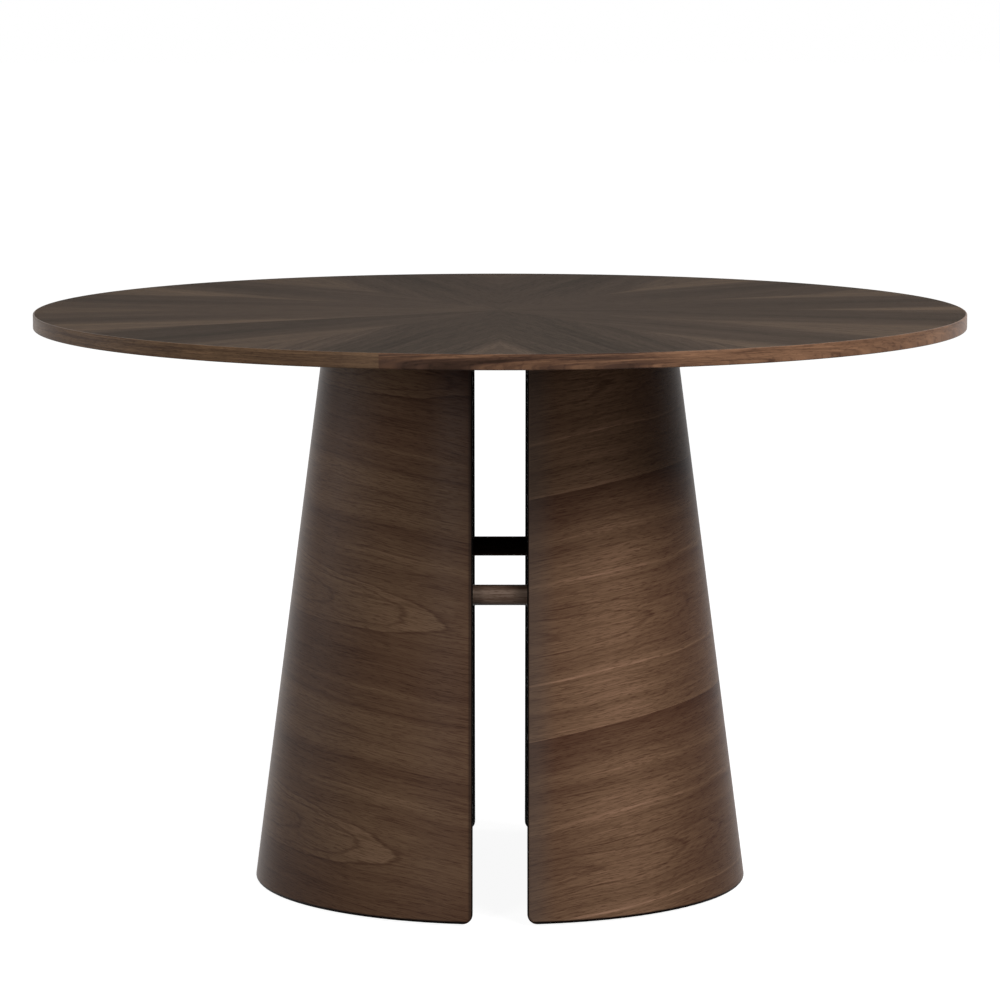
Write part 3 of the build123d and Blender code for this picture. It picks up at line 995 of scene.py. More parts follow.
        # Matt oil on knife-cut veneer: grey brown, with long soft figure and next to no sheen
        sunburst = SunburstVeneer(
            name="sunburst_walnut_veneer_matt", tone=0.46, slow=Marks(300.0, 30.0, 0.08),
            line=Marks(340.0, 7.0, 0.06), fibre=Marks(45.0, 2.0, 0.15), pore=Marks(18.0, 1.6, 0.12),
            vein=Marks(500.0, 16.0, 0.06), roughness=0.8, specular=0.03,
            shades=("241d18", "352d26", "463b33", "55483d", "705e4f", "897462"),
        ).material()
        for number in range(1, self.leaf_count + 1):
            node = f"face_leaf_{number:02d}"
            add_piece(f"sunburst_{node}", self.leaf(number), sunburst, node)
        # Straight-grained veneer, slightly paler than the shells
        plain_band = EdgeBandVeneer(
            name="edge_band_walnut_plain", tone=0.575, line=Marks(120.0, 2.6, 0.20),
            shades=("281a13", "3b2a21", "4c3a2d", "5f4a38", "7a5e47", "96765d"),
        )
        # The same from nearer the heart, so it is redder and starts with a crown
        crown_band = EdgeBandVeneer(
            name="edge_band_walnut_crown", tone=0.62, line=Marks(120.0, 2.6, 0.16), crown_until=0.38,
            specular=0.03,
            shades=("2b1e17", "3f2d24", "523b2d", "664b39", "805f48", "9a7359"),
        )
        for hand, on_from_joint, finish in (("right", 0, crown_band), ("left", 180, plain_band)):
            node = f"edge_band_{hand}"
            band = self.band(self.band_joint_degrees + on_from_joint)
            add_piece(f"{node}_veneer", band, finish.material(), node)


# ---- Base ----


@dataclass(frozen=True)
class Cone:
    """The cone whose face is the outside of both shells.

    Attributes:
        foot_radius: Radius at its foot.
        neck_radius: Radius at its neck.
        foot: Height of its foot.
        neck: Height of its neck.
    """

    foot_radius: float
    neck_radius: float
    foot: float
    neck: float

    @property
    def slope(self) -> float:
        """Angle by which its face leans in from upright."""
        return math.atan((self.foot_radius - self.neck_radius) / (self.neck - self.foot))

    def radius(self, height: np.ndarray | float, inset: float = 0.0) -> np.ndarray | float:
        """Radius at a height, on the surface that lies inset square to the face."""
        rise = (height - self.foot) / (self.neck - self.foot)
        outside = self.foot_radius + (self.neck_radius - self.foot_radius) * rise
        return outside - inset / math.cos(self.slope)

    def point(self, azimuth: np.ndarray, height: np.ndarray, inset: float = 0.0) -> np.ndarray:
        """Places on the surface at an inset, from azimuths about +X and heights."""
        azimuth, height = np.broadcast_arrays(azimuth, height)
        radius = self.radius(height, inset)
        return np.stack([radius * np.cos(azimuth), radius * np.sin(azimuth), height], axis=-1)

    def front(self, x: np.ndarray | float, height: np.ndarray | float, inset: float) -> np.ndarray:
        """Places on the front of the surface at an inset, from their X and height."""
        x, height = np.broadcast_arrays(x, height)
        return np.stack([x, -np.sqrt(self.radius(height, inset) ** 2 - x**2), height], axis=-1)

    def normal(self, azimuth: np.ndarray) -> np.ndarray:
        """Outward unit normals of the face at some azimuths."""
        level, rise = math.cos(self.slope), np.full_like(azimuth, math.sin(self.slope))
        return np.stack([level * np.cos(azimuth), level * np.sin(azimuth), rise], axis=-1)

    def unrolled(self, points: np.ndarray) -> np.ndarray:
        """The cone's face rolled out flat.

        The distance from the apex keeps its length and the azimuth shrinks by the sine of the slope.

        Args:
            points: Places near the face, one row each.

        Returns:
            Distance round from the middle of the side, and height up from the foot there, one row each.
        """
        apex_to_foot = self.foot_radius / math.sin(self.slope)
        apex_to_point = apex_to_foot - (points[:, 2] - self.foot) / math.cos(self.slope)
        swing = azimuths(points) * math.sin(self.slope)
        height = apex_to_foot - apex_to_point * np.cos(swing)
        return np.column_stack([apex_to_point * np.sin(swing), height])


def azimuths(points: np.ndarray) -> np.ndarray:
    """Azimuths of some places about the table's axis, from +X."""
    return np.arctan2(points[:, 1], points[:, 0])


def eased_edge(edge: np.ndarray, face_normal: np.ndarray, cut_normal: np.ndarray, radius: float,
               turn: np.ndarray) -> np.ndarray:
    """Points on the round that eases an edge between two faces.

    The round's centre lies a radius inside both faces, and its points turn from one face's normal to the
    other's.

    Args:
        edge: Places of the sharp edge before easing, one row each.
        face_normal: Unit normals of the first face there.
        cut_normal: Unit normals of the second face there.
        radius: Radius of the round.
        turn: Angles from the first face's normal, one for each line of points.

    Returns:
        Points, as turn by edge place by coordinate. A turn past the second face's normal stops there.
    """
    cosine = (face_normal * cut_normal).sum(axis=-1, keepdims=True)
    sweep = np.arccos(cosine)
    centre = edge - radius * (face_normal + cut_normal) / (1 + cosine)
    angle = np.minimum(np.asarray(turn)[:, None, None], sweep)
    direction = (np.sin(sweep - angle) * face_normal + np.sin(angle) * cut_normal) / np.sin(sweep)
    return centre + radius * direction


@dataclass
class Shell:
    """One half shell of the base: outer veneer, black lining and the solid lippings down the slit.

    Every surface is worked out for the right-hand shell, whose side faces +X, and mirrored for the left.

    Attributes:
        side: Which shell this is.
        cone: Cone of its outside.
        slit_half: Distance from the table's axis to the shell's end faces.
        corner: Radius of the rounded lower corners of the slit.
        wall: Thickness of the whole wall.
        veneer: Thickness of the outer veneer.
        lining: Thickness of the black lining.
        lipping: Width of the solid lippings.
        outer_ease: Radius to which the outer edges are eased.
        inner_ease: Radius to which the inner edges are eased.
        back_lift: Height of the lipping's hidden face above the end of the eased edge at the foot.
        sheen_bearing_degrees: Where round the shell its painted sheen is brightest, from the middle of its
            side.
        sheen_width_degrees: How far round from there the painted sheen still shows.
        corner_shade_share: Depth of the painted shade under the top, in the upper corner by the slit, against
            the sheen.
        corner_shade_bearing_degrees: Where round the shell that painted shade is darkest.
        corner_shade_width_degrees: How far round from there it is still dark.
        corner_shade_drop: How far down from the neck it is still dark.
        slit_rows: Rows of points down the straight of the slit.
        corner_rows: Rows of points round its corner.
        columns: Columns of points round the shell.
        knife_points: Points across a skin's eased edge, and across the inner edges of a lipping.
        outer_points: Points across the outer edges of a lipping.
        outer_turn_degrees: A turn past the widest angle between the outside's normal and the cut's, about 99.
        inner_turn_degrees: A turn past the angle between the inside's normal and the cut's down the slit.
    """

    side: Side
    cone: Cone
    slit_half: float = 34.0 * MM
    corner: float = 12.5 * MM
    wall: float = 19.2 * MM
    veneer: float = 0.6 * MM
    lining: float = 0.6 * MM
    lipping: float = 14.0 * MM
    outer_ease: float = 3.5 * MM
    inner_ease: float = 2.0 * MM
    back_lift: float = 0.2 * MM
    sheen_bearing_degrees: float = -58.0
    sheen_width_degrees: float = 19.0
    corner_shade_share: float = 0.0
    corner_shade_bearing_degrees: float = -90.0
    corner_shade_width_degrees: float = 20.0
    corner_shade_drop: float = 75.0 * MM
    slit_rows: int = 60
    corner_rows: int = 9
    columns: int = 97
    knife_points: int = 5
    outer_points: int = 7
    outer_turn_degrees: float = 100.8
    inner_turn_degrees: float = 90.0

    def slit_edge(self, inset: float) -> tuple[np.ndarray, np.ndarray]:
        """The front edge of the shell before easing, on the surface at an inset, from neck to foot.

        It runs straight down at the slit's half width, then round the corner as a quarter circle.

        Args:
            inset: Depth of the surface under the outer face.

        Returns:
            Places and unit normals of the cut, one row each.
        """
        straight = np.linspace(self.cone.neck, self.cone.foot + self.corner, self.slit_rows)
        turn = np.linspace(0, math.pi / 2, self.corner_rows)[1:]
        x = np.concatenate([np.full(self.slit_rows, self.slit_half),
                            self.slit_half + self.corner * (1 - np.cos(turn))])
        z = np.concatenate([straight, self.cone.foot + self.corner * (1 - np.sin(turn))])
        turn = np.concatenate([np.zeros(self.slit_rows), turn])
        cut_normal = np.column_stack([-np.cos(turn), np.zeros_like(turn), -np.sin(turn)])
        return self.cone.front(x, z, inset), cut_normal

    def painted_sheen_and_shade(self, points: np.ndarray) -> np.ndarray:
        """Painted light on the veneer: 1 in its strip of painted sheen, below 0 in painted shade under the
        top.
        """
        bearing = np.degrees(azimuths(points))
        pale = np.exp(-((bearing - self.sheen_bearing_degrees) / self.sheen_width_degrees) ** 2)
        shade_across = (bearing - self.corner_shade_bearing_degrees) / self.corner_shade_width_degrees
        shade_down = (self.cone.neck - points[:, 2]) / self.corner_shade_drop
        return pale - self.corner_shade_share * np.exp(-shade_across**2 - shade_down**2)

    def skin(self, face: SkinFace) -> Surface:
        """A thin closed layer on the outside or the inside of the wall, which thins out at its eased edges.

        The visible side is a grid of height by azimuth, widened by rings of points that follow the eased edge
        down the slit, along the foot and up the slit again. The last ring lies where the round cuts through
        the layer, and the hidden side starts there.

        Args:
            face: The outer veneer or the inner lining.

        Returns:
            Its surface.
        """
        outer = face is SkinFace.OUTER
        face_inset, layer = (0.0, self.veneer) if outer else (self.wall, self.lining)
        radius = self.outer_ease if outer else self.inner_ease

        slit, slit_cut = self.slit_edge(face_inset)
        foot_azimuth = azimuths(slit)[-1]
        around = np.linspace(foot_azimuth, -foot_azimuth, self.columns)[1:-1]
        foot = self.cone.point(around, np.full_like(around, self.cone.foot), face_inset)
        down = np.tile([0.0, 0.0, -1.0], (len(around), 1))
        to_back = np.array([1.0, -1.0, 1.0])
        edge = np.vstack([slit, foot, slit[::-1] * to_back])
        cut_normal = np.vstack([slit_cut, down, slit_cut[::-1] * to_back])
        face_normal = face.value * self.cone.normal(azimuths(edge))

        turn = np.linspace(0, math.acos(1 - layer / radius), self.knife_points)
        rings = eased_edge(edge, face_normal, cut_normal, radius, turn)
        rings[:, [0, -1], 2] = self.cone.neck

        start = rings[0, :len(slit)]
        azimuth = azimuths(start)[:, None] * np.linspace(1, -1, self.columns)
        shown, hidden = [self.cone.point(azimuth, start[:, 2:], inset).reshape(-1, 3)
                         for inset in (face_inset, face_inset + face.value * layer)]

        points = np.vstack([shown, rings[1:].reshape(-1, 3), hidden])
        shown_ids = np.arange(len(shown)).reshape(azimuth.shape)
        ring_ids = len(shown) + np.arange(rings[1:, :, 0].size).reshape(-1, len(edge))
        hidden_ids = len(shown) + ring_ids.size + shown_ids
        front_end = [*ring_ids[::-1, 0].tolist(), int(shown_ids[0, 0]), int(hidden_ids[0, 0])]
        back_end = [int(hidden_ids[0, -1]), int(shown_ids[0, -1]), *ring_ids[:, -1].tolist()]

        faces = quads(shown_ids, flip=outer)
        faces += quads(hidden_ids, flip=not outer)
        faces += quads(np.vstack([border(shown_ids), ring_ids]), flip=outer)
        faces += quads(np.vstack([border(hidden_ids), ring_ids[-1]]), flip=not outer)
        faces += quads(np.stack([shown_ids[0], hidden_ids[0]]), flip=not outer)
        faces += [end if outer else end[::-1] for end in (front_end, back_end)]
        # Its value "pale" holds the painted sheen and the painted shade under the top
        return Surface(points, faces, self.cone.unrolled(points), {"pale": self.painted_sheen_and_shade(points)})

    def lipping_surface(self) -> Surface:
        """The solid lipping down the front edge of the slit, between the veneer and the lining.

        Closed loops of points stand along the slit from the neck, round the corner, to the lipping's inner
        face. Each loop is the eased outer edge from the veneer's thin end, the end face, the eased inner edge
        to the lining's thin end, and the hidden face against the core.

        Returns:
            Its surface.
        """
        face_x, foot = self.slit_half + self.lipping, self.cone.foot
        outer_edge, inner_edge = [np.vstack([self.slit_edge(inset)[0], self.cone.front(face_x, foot, inset)])
                                  for inset in (0.0, self.wall)]
        cut_normal = np.vstack([self.slit_edge(0.0)[1], [0.0, 0.0, -1.0]])
        outer_normal = self.cone.normal(azimuths(outer_edge))
        inner_normal = -self.cone.normal(azimuths(inner_edge))

        outer_knife = math.acos(1 - self.veneer / self.outer_ease)
        inner_knife = math.acos(1 - self.lining / self.inner_ease)
        outer_turn = np.linspace(outer_knife, math.radians(self.outer_turn_degrees), self.outer_points)
        inner_turn = np.linspace(math.radians(self.inner_turn_degrees), inner_knife, self.knife_points)
        outer_round = eased_edge(outer_edge, outer_normal, cut_normal, self.outer_ease, outer_turn)
        inner_round = eased_edge(inner_edge, inner_normal, cut_normal, self.inner_ease, inner_turn)
        back_z = np.maximum(outer_edge[:, 2], foot + self.outer_ease + self.back_lift)
        back = [self.cone.front(face_x, back_z, inset) for inset in (self.wall - self.lining, self.veneer)]
        loops = np.concatenate([outer_round, inner_round, np.stack(back)]).transpose(1, 0, 2)
        loops[0, :, 2] = self.cone.neck
        loops[-1, :, 0] = face_x
        drop = np.linalg.norm(np.diff(outer_edge, axis=0), axis=1)
        return swept(loops, np.concatenate([[0], np.cumsum(drop)]))

    def build(self, veneer: Material, lining: Material, lipping: Material) -> None:
        """Make this shell's skins and lippings, and dress them.

        Args:
            veneer: Finish of the outside.
            lining: Finish of the inside.
            lipping: Finish of the solid edges.
        """
        hand = self.side.name.lower()
        front = self.lipping_surface()
        pieces = [
            ("shell_walnut_skin", self.skin(SkinFace.OUTER), veneer, "shell_veneer", "walnut_shell"),
            ("shell_black_skin", self.skin(SkinFace.INNER), lining, "shell_lining", "black_lining"),
            ("front_solid_edge", front, lipping, "front_lipping", "walnut_lipping"),
            ("back_solid_edge", front.mirrored(1), lipping, "back_lipping", "walnut_lipping"),
        ]
        for name, surface, material, node, slot in pieces:
            placed = surface if self.side is Side.RIGHT else surface.mirrored(0)
            add_piece(f"{hand}_{name}", placed, material, f"{hand}_{node}")


@dataclass
class Crossbar:
    """A turned round bar across the slit, with its hidden ends slightly chamfered.

    Attributes:
        slit_edge: Which end of the slit it is at.
        radius: Radius of the bar.
        half_length: Half its length.
        offset: Distance of its axis from the table's axis.
        height: Height of its axis.
        chamfer: Chamfer at each end.
        circles: Circles of points between the chamfers.
        columns: Points round a circle, with the first and the last at one place.
    """

    slit_edge: SlitEdge
    radius: float
    half_length: float
    offset: float
    height: float
    chamfer: float = 1.0 * MM
    circles: int = 37
    columns: int = 65

    def surface(self) -> Surface:
        """The bar as circles of points along X, closed by a fan at each end.

        The circles' radius is the bar's, less the chamfer at both ends. Each starts and ends on the side
        towards the table's axis, so the seam of the grain map, which is the distance along the bar and round
        it, lies there.

        Returns:
            Its surface.
        """
        reach, narrow = self.half_length, self.radius - self.chamfer
        between = np.linspace(self.chamfer - reach, reach - self.chamfer, self.circles)
        stations = np.concatenate([[-reach], between, [reach]])
        radii = np.concatenate([[narrow], np.full(self.circles, self.radius), [narrow]])
        turn = np.linspace(0, 2 * math.pi, self.columns)
        inward = -self.slit_edge.value
        centre_y = self.slit_edge.value * self.offset
        y = centre_y + inward * radii[:, None] * np.cos(turn)
        z = self.height + inward * radii[:, None] * np.sin(turn)
        x = np.broadcast_to(stations[:, None], y.shape)
        centres = [[-reach, centre_y, self.height], [reach, centre_y, self.height]]
        points = np.vstack([np.stack([x, y, z], axis=-1).reshape(-1, 3), centres])
        ids = np.arange(x.size).reshape(x.shape)
        near, far = x.size, x.size + 1
        faces = quads(ids)
        faces += [[near, int(b), int(a)] for a, b in zip(ids[0, :-1], ids[0, 1:])]
        faces += [[far, int(a), int(b)] for a, b in zip(ids[-1, :-1], ids[-1, 1:])]
        grain = np.stack(np.broadcast_arrays(x, self.radius * turn), axis=-1).reshape(-1, 2)
        return Surface(points, faces, np.vstack([grain, [[-reach, 0], [reach, 0]]]))

    def build(self, material: Material) -> None:
        """Make the bar and dress it."""
        end = self.slit_edge.name.lower()
        add_piece(f"{end}_turned_crossbar", self.surface(), material, f"{end}_crossbar")


# ---- Hidden parts ----


def dress_hidden_parts(nodes: dict[str, bpy.types.Object]) -> None:
    """Give the nodes whose CAD shape is right as it is the finish of what each is made of.

    Args:
        nodes: Carried-over nodes, by name.
    """
    # Beech plies dyed through at the edges, so the layers are only just told apart
    shell_core = StainedWood("stained_bent_plywood", "120d0a", "1f1712", ply_mm=1.5, specular=0.0)
    # Birch plywood under matt black stain
    formers = StainedWood("black_stained_plywood", "0b0a09", "1a1816", ply_mm=1.4)
    # The same stain on solid beech, so without layers
    blocks = StainedWood("black_stained_beech", "0b0a09", "181614")
    # Pressed wood fibre: fine, pale brown and quite without sheen
    board = SpeckledFinish("bare_fibreboard", "7c6244", "a08562", speck_mm=1.2, roughness=0.9)
    # Walnut under a thin sealer, which leaves it dull
    backing = BackingVeneer(name="backing_walnut_veneer_sealed", tone=0.50, roughness=0.7, specular=0.15)
    # Bright zinc plate on cold-headed steel: cool grey, with a slightly cloudy gloss
    zinc = SpeckledFinish("zinc_plated_steel", "b4b6ba", "c8cacd", speck_mm=3.0, roughness=0.32,
                          metallic=1.0)
    # Turned brass, unpolished
    brass = SpeckledFinish("turned_brass", "b08d46", "c8a65a", speck_mm=2.0, roughness=0.35, metallic=1.0)
    # Moulded natural nylon: slightly waxy off-white
    nylon = SpeckledFinish("moulded_nylon", "d2cfc4", "dcdad0", speck_mm=0.8, roughness=0.45)
    hands = [side.name.lower() for side in Side]
    dressed = (
        (board, ["top_core"]),
        (backing, ["backing_veneer"]),
        (zinc, ["crossbar_screws", "top_bolts", "top_washers"]),
        (brass, ["threaded_inserts"]),
        (nylon, ["floor_glides"]),
        (shell_core, [f"{hand}_shell_core" for hand in hands]),
        (formers, [f"{hand}_{former}" for hand in hands for former in ("top_plate", "foot_ring")]),
        (blocks, [f"{hand}_{edge.name.lower()}_block" for hand in hands for edge in SlitEdge]),
    )
    for finish, names in dressed:
        material = finish.material()
        for name in names:
            slots = nodes[name].data.materials
            slots.clear()
            slots.append(material)
            log.info("%s: takes %s", name, material.name)


# ---- Studio ----


@dataclass(frozen=True)
class Lamp:
    """A soft square lamp that hangs on a sphere round the middle of the table and points at it.

    Attributes:
        name: Its name.
        bearing_degrees: Where it stands round the table, from the front towards the right.
        rise_degrees: Its height above level, as an angle.
        size: Side of its panel.
        power: Its power in watts.
        distance: Its distance from the middle.
        middle: Height of the middle that it points at.
    """

    name: str
    bearing_degrees: float
    rise_degrees: float
    size: float
    power: float
    distance: float = 4.5
    middle: float = 0.5

    def build(self) -> None:
        """Hang the lamp."""
        bearing, rise = math.radians(self.bearing_degrees), math.radians(self.rise_degrees)
        level = self.distance * math.cos(rise)
        place = Vector((level * math.sin(bearing), -level * math.cos(bearing),
                        self.middle + self.distance * math.sin(rise)))
        lamp = bpy.data.lights.new(self.name, "AREA")
        lamp.shape = "SQUARE"
        lamp.size = self.size
        lamp.energy = self.power
        holder = bpy.data.objects.new(self.name, lamp)
        holder.location = place
        to_middle = Vector((0.0, 0.0, self.middle)) - place
        holder.rotation_euler = to_middle.to_track_quat("-Z", "Y").to_euler()
        bpy.context.scene.collection.objects.link(holder)


@dataclass
class Studio:
    """A pale floor, a white surround, soft lamps and the camera.

    Attributes:
        floor_size: Side of the floor.
        floor_paint: Colour of the floor to the eye.
        dark_paint: Colour of the floor to the table.
        glow_near: Distance from the table's axis up to which the floor's glow is weakest, and its strength.
        glow_far: Distance from which it is strongest, and its strength.
        camera_place: Where the camera stands.
        camera_pitch: How far it looks down.
        camera_reach: Distance up to which it sees.
        lens_mm: Its focal length.
        sensor_mm: Width of its sensor.
        surround_light: Strength of the surround's own light on the table.
        lamps: The lamps.
    """

    floor_size: float = 60.0
    floor_paint: str = "9a9a9a"
    dark_paint: str = "444444"
    glow_near: Pair = (0.7, 0.935)
    glow_far: Pair = (3.0, 1.0)
    camera_place: tuple[float, float, float] = (0.0, -6.21227, 1.27978)
    camera_pitch: float = 0.1255
    camera_reach: float = 100.0
    lens_mm: float = 173.91
    sensor_mm: float = 36.0
    surround_light: float = 0.09
    lamps: tuple[Lamp, ...] = (
        Lamp("high_key_lamp", 50.0, 35.0, 1.6, 170.0),
        Lamp("front_key_lamp", 32.0, 31.0, 1.2, 58.0),
        Lamp("low_fill_lamp", -28.0, 11.0, 1.3, 62.0),
        Lamp("low_right_fill_lamp", 24.0, 4.0, 1.3, 16.0),
        Lamp("left_rim_lamp", -98.0, 10.0, 3.0, 72.0),
    )

    def white_to_camera(self, tree: Tree) -> Any:
        """1 for rays from the camera and for rays that a glossy or clear surface sends on, else 0."""
        rays = add_node(tree, "LightPath").outputs
        seen = add_node(tree, "Math", (rays["Is Camera Ray"], rays["Is Glossy Ray"]), operation="MAXIMUM")
        return add_node(tree, "Math", (seen, rays["Is Transmission Ray"]), operation="MAXIMUM")

    def build_surround(self) -> None:
        """White to the eye, and a dim even light on the table."""
        world = bpy.data.worlds.new("white_surround")
        world.use_nodes = True
        tree = world.node_tree
        tree.nodes.clear()
        dim = add_node(tree, "Background", {"Color": grey(1.0), "Strength": self.surround_light})
        white = add_node(tree, "Background", {"Color": grey(1.0), "Strength": 1.0})
        mix = add_node(tree, "MixShader", (self.white_to_camera(tree), dim, white))
        add_node(tree, "OutputWorld", {"Surface": mix})
        bpy.context.scene.world = world

    def build_floor(self) -> None:
        """A floor that shows the table's shadow and melts into the white surround.

        To the eye it is pale paint made up to white by a glow, which grows with the distance from the table
        as the lamps' light falls away. To the table it is a darker floor that throws little light up.
        """
        half = self.floor_size / 2
        mesh = bpy.data.meshes.new("studio_floor")
        corners = [(-half, -half, 0), (half, -half, 0), (half, half, 0), (-half, half, 0)]
        mesh.from_pydata(corners, [], [range(4)])
        floor = bpy.data.objects.new("studio_floor", mesh)
        bpy.context.scene.collection.objects.link(floor)
        material = new_material("pale_studio_floor")
        tree = material.node_tree
        place = add_node(tree, "TexCoord").outputs["Object"]
        distance = add_node(tree, "VectorMath", (place,), operation="LENGTH").outputs["Value"]
        (near, weakest), (far, strongest) = self.glow_near, self.glow_far
        strength = add_node(tree, "MapRange", {
            "Value": distance, "From Min": near, "From Max": far, "To Min": weakest, "To Max": strongest,
        })
        paint = add_node(tree, "BsdfDiffuse", {"Color": linear(self.floor_paint)})
        glow = add_node(tree, "Emission", {"Color": grey(1.0), "Strength": strength})
        lifted = add_node(tree, "AddShader", (paint, glow))
        dark_paint = add_node(tree, "BsdfDiffuse", {"Color": linear(self.dark_paint)})
        mix = add_node(tree, "MixShader", (self.white_to_camera(tree), dark_paint, lifted))
        add_node(tree, "OutputMaterial", {"Surface": mix})
        mesh.materials.append(material)
        floor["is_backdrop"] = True

    def build_camera(self) -> None:
        """The camera, level from side to side, on the slit's own line."""
        camera = bpy.data.cameras.new("front_camera")
        camera.lens = self.lens_mm
        camera.sensor_width = self.sensor_mm
        camera.clip_end = self.camera_reach
        holder = bpy.data.objects.new("front_camera", camera)
        holder.location = self.camera_place
        holder.rotation_euler = (math.pi / 2 - self.camera_pitch, 0.0, 0.0)
        bpy.context.scene.collection.objects.link(holder)
        bpy.context.scene.camera = holder

    def build(self) -> None:
        """Make the studio and set how the picture is read."""
        self.build_surround()
        self.build_floor()
        for lamp in self.lamps:
            lamp.build()
        self.build_camera()
        bpy.context.scene.view_settings.view_transform = "Standard"


# ---- Finishes of the visible parts ----

# Satin lacquer on crown-cut veneer: warm brown, with a soft sheen only where the cone turns away
RIGHT_SHELL_VENEER = ShellVeneer(
    name="right_shell_walnut_veneer_satin", tone=0.44, specular=0.012,
    slow=Marks(420.0, 42.0, 0.12), line=Marks(260.0, 4.5, 0.10), vein=Marks(380.0, 9.0, 0.08),
    fibre=Marks(48.0, 1.5, 0.20), pore=Marks(13.0, 1.0, 0.19),
    # A painted sheen brightens a strip about 32 degrees round from the front
    joint_mm=265.0, crown_mm=124.0, crown_far_mm=-470.0, streak_depth=0.72, ring_depth=0.50, sheen_and_shade_depth=0.20,
    streaks=(
        (0.0, 0.66), (3.0, 0.62), (22.0, 0.58), (28.0, 0.44), (33.0, 0.56), (60.0, 0.56), (63.5, 0.44),
        (65.5, 0.60), (67.3, 0.86), (69.0, 0.58), (80.0, 0.52), (118.0, 0.50), (140.0, 0.47), (150.0, 0.44),
        (156.0, 0.56), (170.0, 0.50), (178.0, 0.44), (184.0, 0.56), (188.0, 0.76), (192.0, 0.58),
        (214.0, 0.56), (224.0, 0.42), (230.0, 0.43), (238.0, 0.58), (252.0, 0.50), (260.0, 0.36),
        (268.0, 0.28), (274.0, 0.38), (279.0, 0.26), (288.0, 0.22), (296.0, 0.18),
    ),
    crown_rings=(
        (0.0, 0.5), (10.4, 0.52), (11.5, 0.30), (12.6, 0.54), (24.2, 0.55), (25.3, 0.22), (26.4, 0.55),
        (33.5, 0.53), (34.5, 0.27), (35.5, 0.5), (60.0, 0.5),
    ),
)

# The same lacquer on leaves from another flitch, a little darker and with quieter figure
LEFT_SHELL_VENEER = ShellVeneer(
    name="left_shell_walnut_veneer_satin", tone=0.435, specular=0.028,
    slow=Marks(420.0, 42.0, 0.12), line=Marks(260.0, 4.5, 0.06),
    fibre=Marks(48.0, 1.5, 0.17), pore=Marks(13.0, 1.0, 0.16),
    # A weaker painted sheen brightens the same strip
    joint_mm=288.0, crown_mm=115.0, crown_far_mm=52.0, streak_depth=0.70, ring_depth=0.52, sheen_and_shade_depth=0.13,
    slit_tint="241a15", slit_tint_share=0.7, slit_tint_mm=(37.5, 41.0),
    shades=("2a1810", "3e2a1f", "4e392b", "5c4736", "735a48", "8d715e"),
    streaks=(
        (0.0, 0.41), (10.0, 0.46), (16.0, 0.58), (19.0, 0.42), (28.0, 0.33), (38.0, 0.34), (46.0, 0.39),
        (54.0, 0.32), (64.0, 0.39), (72.0, 0.44), (80.0, 0.43), (90.0, 0.52), (108.0, 0.54), (160.0, 0.52),
        (168.0, 0.43), (174.0, 0.53), (184.0, 0.62), (190.0, 0.53), (204.0, 0.47), (210.0, 0.38),
        (218.0, 0.40), (226.0, 0.56), (234.0, 0.60), (250.0, 0.54), (278.0, 0.56), (284.0, 0.49),
        (287.0, 0.30), (290.0, 0.34), (292.0, 0.48), (296.0, 0.46),
    ),
    crown_rings=(
        (0.0, 0.5), (21.0, 0.55), (23.1, 0.54), (24.0, 0.24), (24.9, 0.55), (31.0, 0.62), (34.3, 0.62),
        (35.2, 0.30), (36.1, 0.66), (39.8, 0.68), (40.7, 0.16), (41.8, 0.46), (44.0, 0.5), (80.0, 0.5),
    ),
)

# Walnut under the same lacquer, with its pores filled: near black, as painted shade on edges by the dark slit
RIGHT_LIPPING = LippingWood(name="right_solid_walnut_lipping_satin", tone=0.22)
# The left-hand lippings are darker still: a copy with deeper painted shade
LEFT_LIPPING = LippingWood(name="left_solid_walnut_lipping_satin", tone=0.05)

# Back veneer stained black and left matt, so that the inside of the base falls away into shadow
BLACK_LINING = StainedWood("black_stained_lining", "060606", "0c0b0b", streak_mm=(60.0, 2.0))

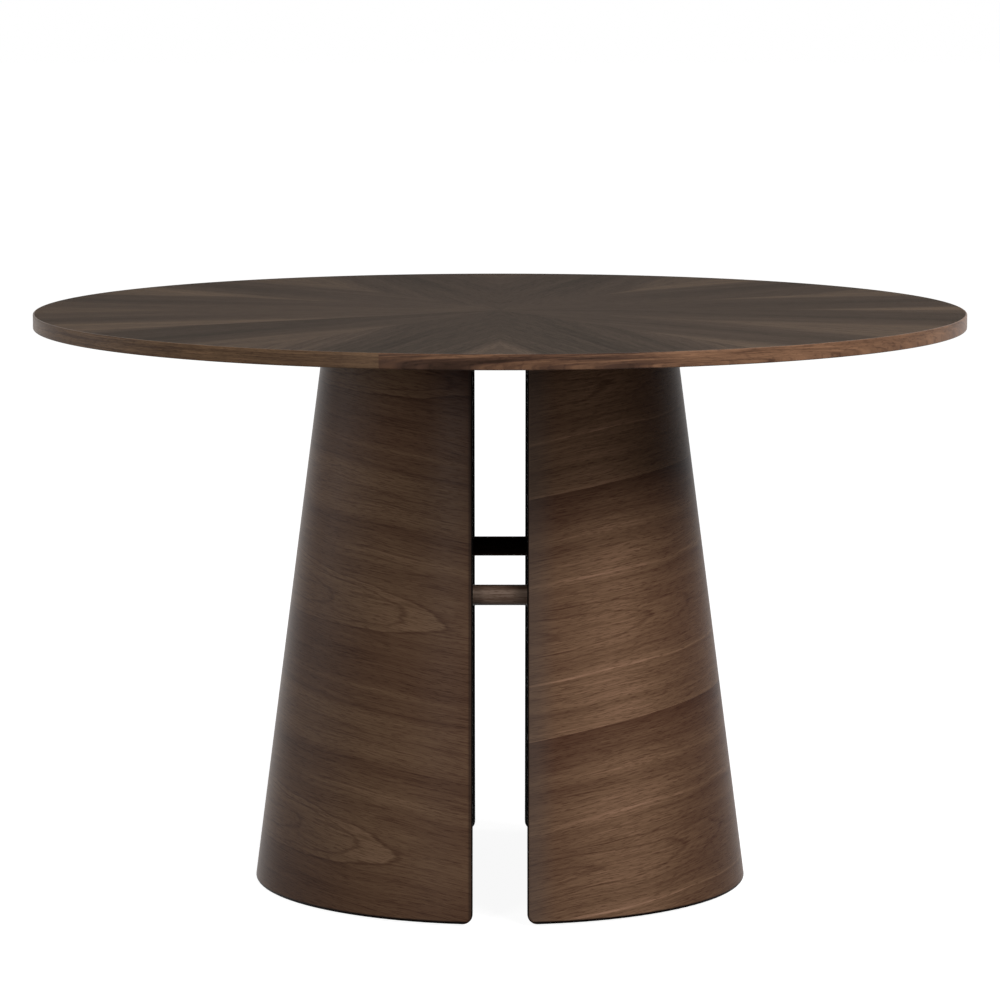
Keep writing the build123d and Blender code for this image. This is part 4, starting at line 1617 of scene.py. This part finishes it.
BAR_FINISHES = {
    # Painted shade on top and underneath, and a painted highlight facing up to the front, in greyer shades
    SlitEdge.FRONT: TurnedWalnut(
        name="turned_walnut_front_bar_satin", tone=0.56, line=Marks(90.0, 3.0, 0.11), roughness=0.3,
        specular=0.06,
        bands=(
            (0.0, 0.5), (80.0, 0.0), (104.0, 0.02), (110.0, 0.40), (130.0, 0.46), (143.0, 0.56), (150.0, 0.76),
            (162.0, 0.74), (172.0, 0.60), (205.0, 0.52), (232.0, 0.46), (240.0, 0.05), (265.0, 0.0),
            (280.0, 0.5), (360.0, 0.5),
        ),
        shades=("2a1c14", "3f2e24", "503e33", "5f4e43", "776559", "91807a"),
    ),
    # A darker, duller copy of the bar's walnut: painted shade, as it stands in the dark behind the slit
    SlitEdge.BACK: WalnutFinish(
        name="turned_walnut_back_bar_matt", tone=0.38, line=Marks(90.0, 3.0, 0.11), roughness=0.6,
        specular=0.01,
    ),
}


def main() -> None:
    """Load the frame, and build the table's pieces round it."""
    logging.basicConfig(level=logging.INFO, format="%(name)s: %(message)s")
    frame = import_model()
    cad_box = [list(map(float, corner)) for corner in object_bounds()]
    nodes: dict[str, bpy.types.Object] = frame["nodes"]

    _, board_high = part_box("top_core")
    leaf_low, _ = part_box("face_leaf_01")
    backing_low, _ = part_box("backing_veneer")
    ring_low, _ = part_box("right_foot_ring")
    Tabletop(
        radius=cad_box[1][0], board_radius=board_high.x, height=cad_box[1][2], leaf_bottom=leaf_low.z,
        underside=backing_low.z,
    ).build()

    cone = Cone(foot_radius=319.0 * MM, neck_radius=225.0 * MM, foot=ring_low.z, neck=backing_low.z)
    black_lining = BLACK_LINING.material()
    for shell, veneer, lipping in (
        (Shell(Side.RIGHT, cone), RIGHT_SHELL_VENEER, RIGHT_LIPPING),
        # The left shell adds painted shade under the top, in its upper corner beside the slit
        (Shell(Side.LEFT, cone, corner_shade_share=7.5), LEFT_SHELL_VENEER, LEFT_LIPPING),
    ):
        shell.build(veneer.material(), black_lining, lipping.material())

    for slit_edge, bar_finish in BAR_FINISHES.items():
        low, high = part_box(f"{slit_edge.name.lower()}_crossbar")
        Crossbar(
            slit_edge, radius=(high.z - low.z) / 2, half_length=high.x, offset=abs(low.y + high.y) / 2,
            height=(low.z + high.z) / 2,
        ).build(bar_finish.material())

    dress_hidden_parts(nodes)
    Studio().build()


if __name__ == "__main__":
    main()
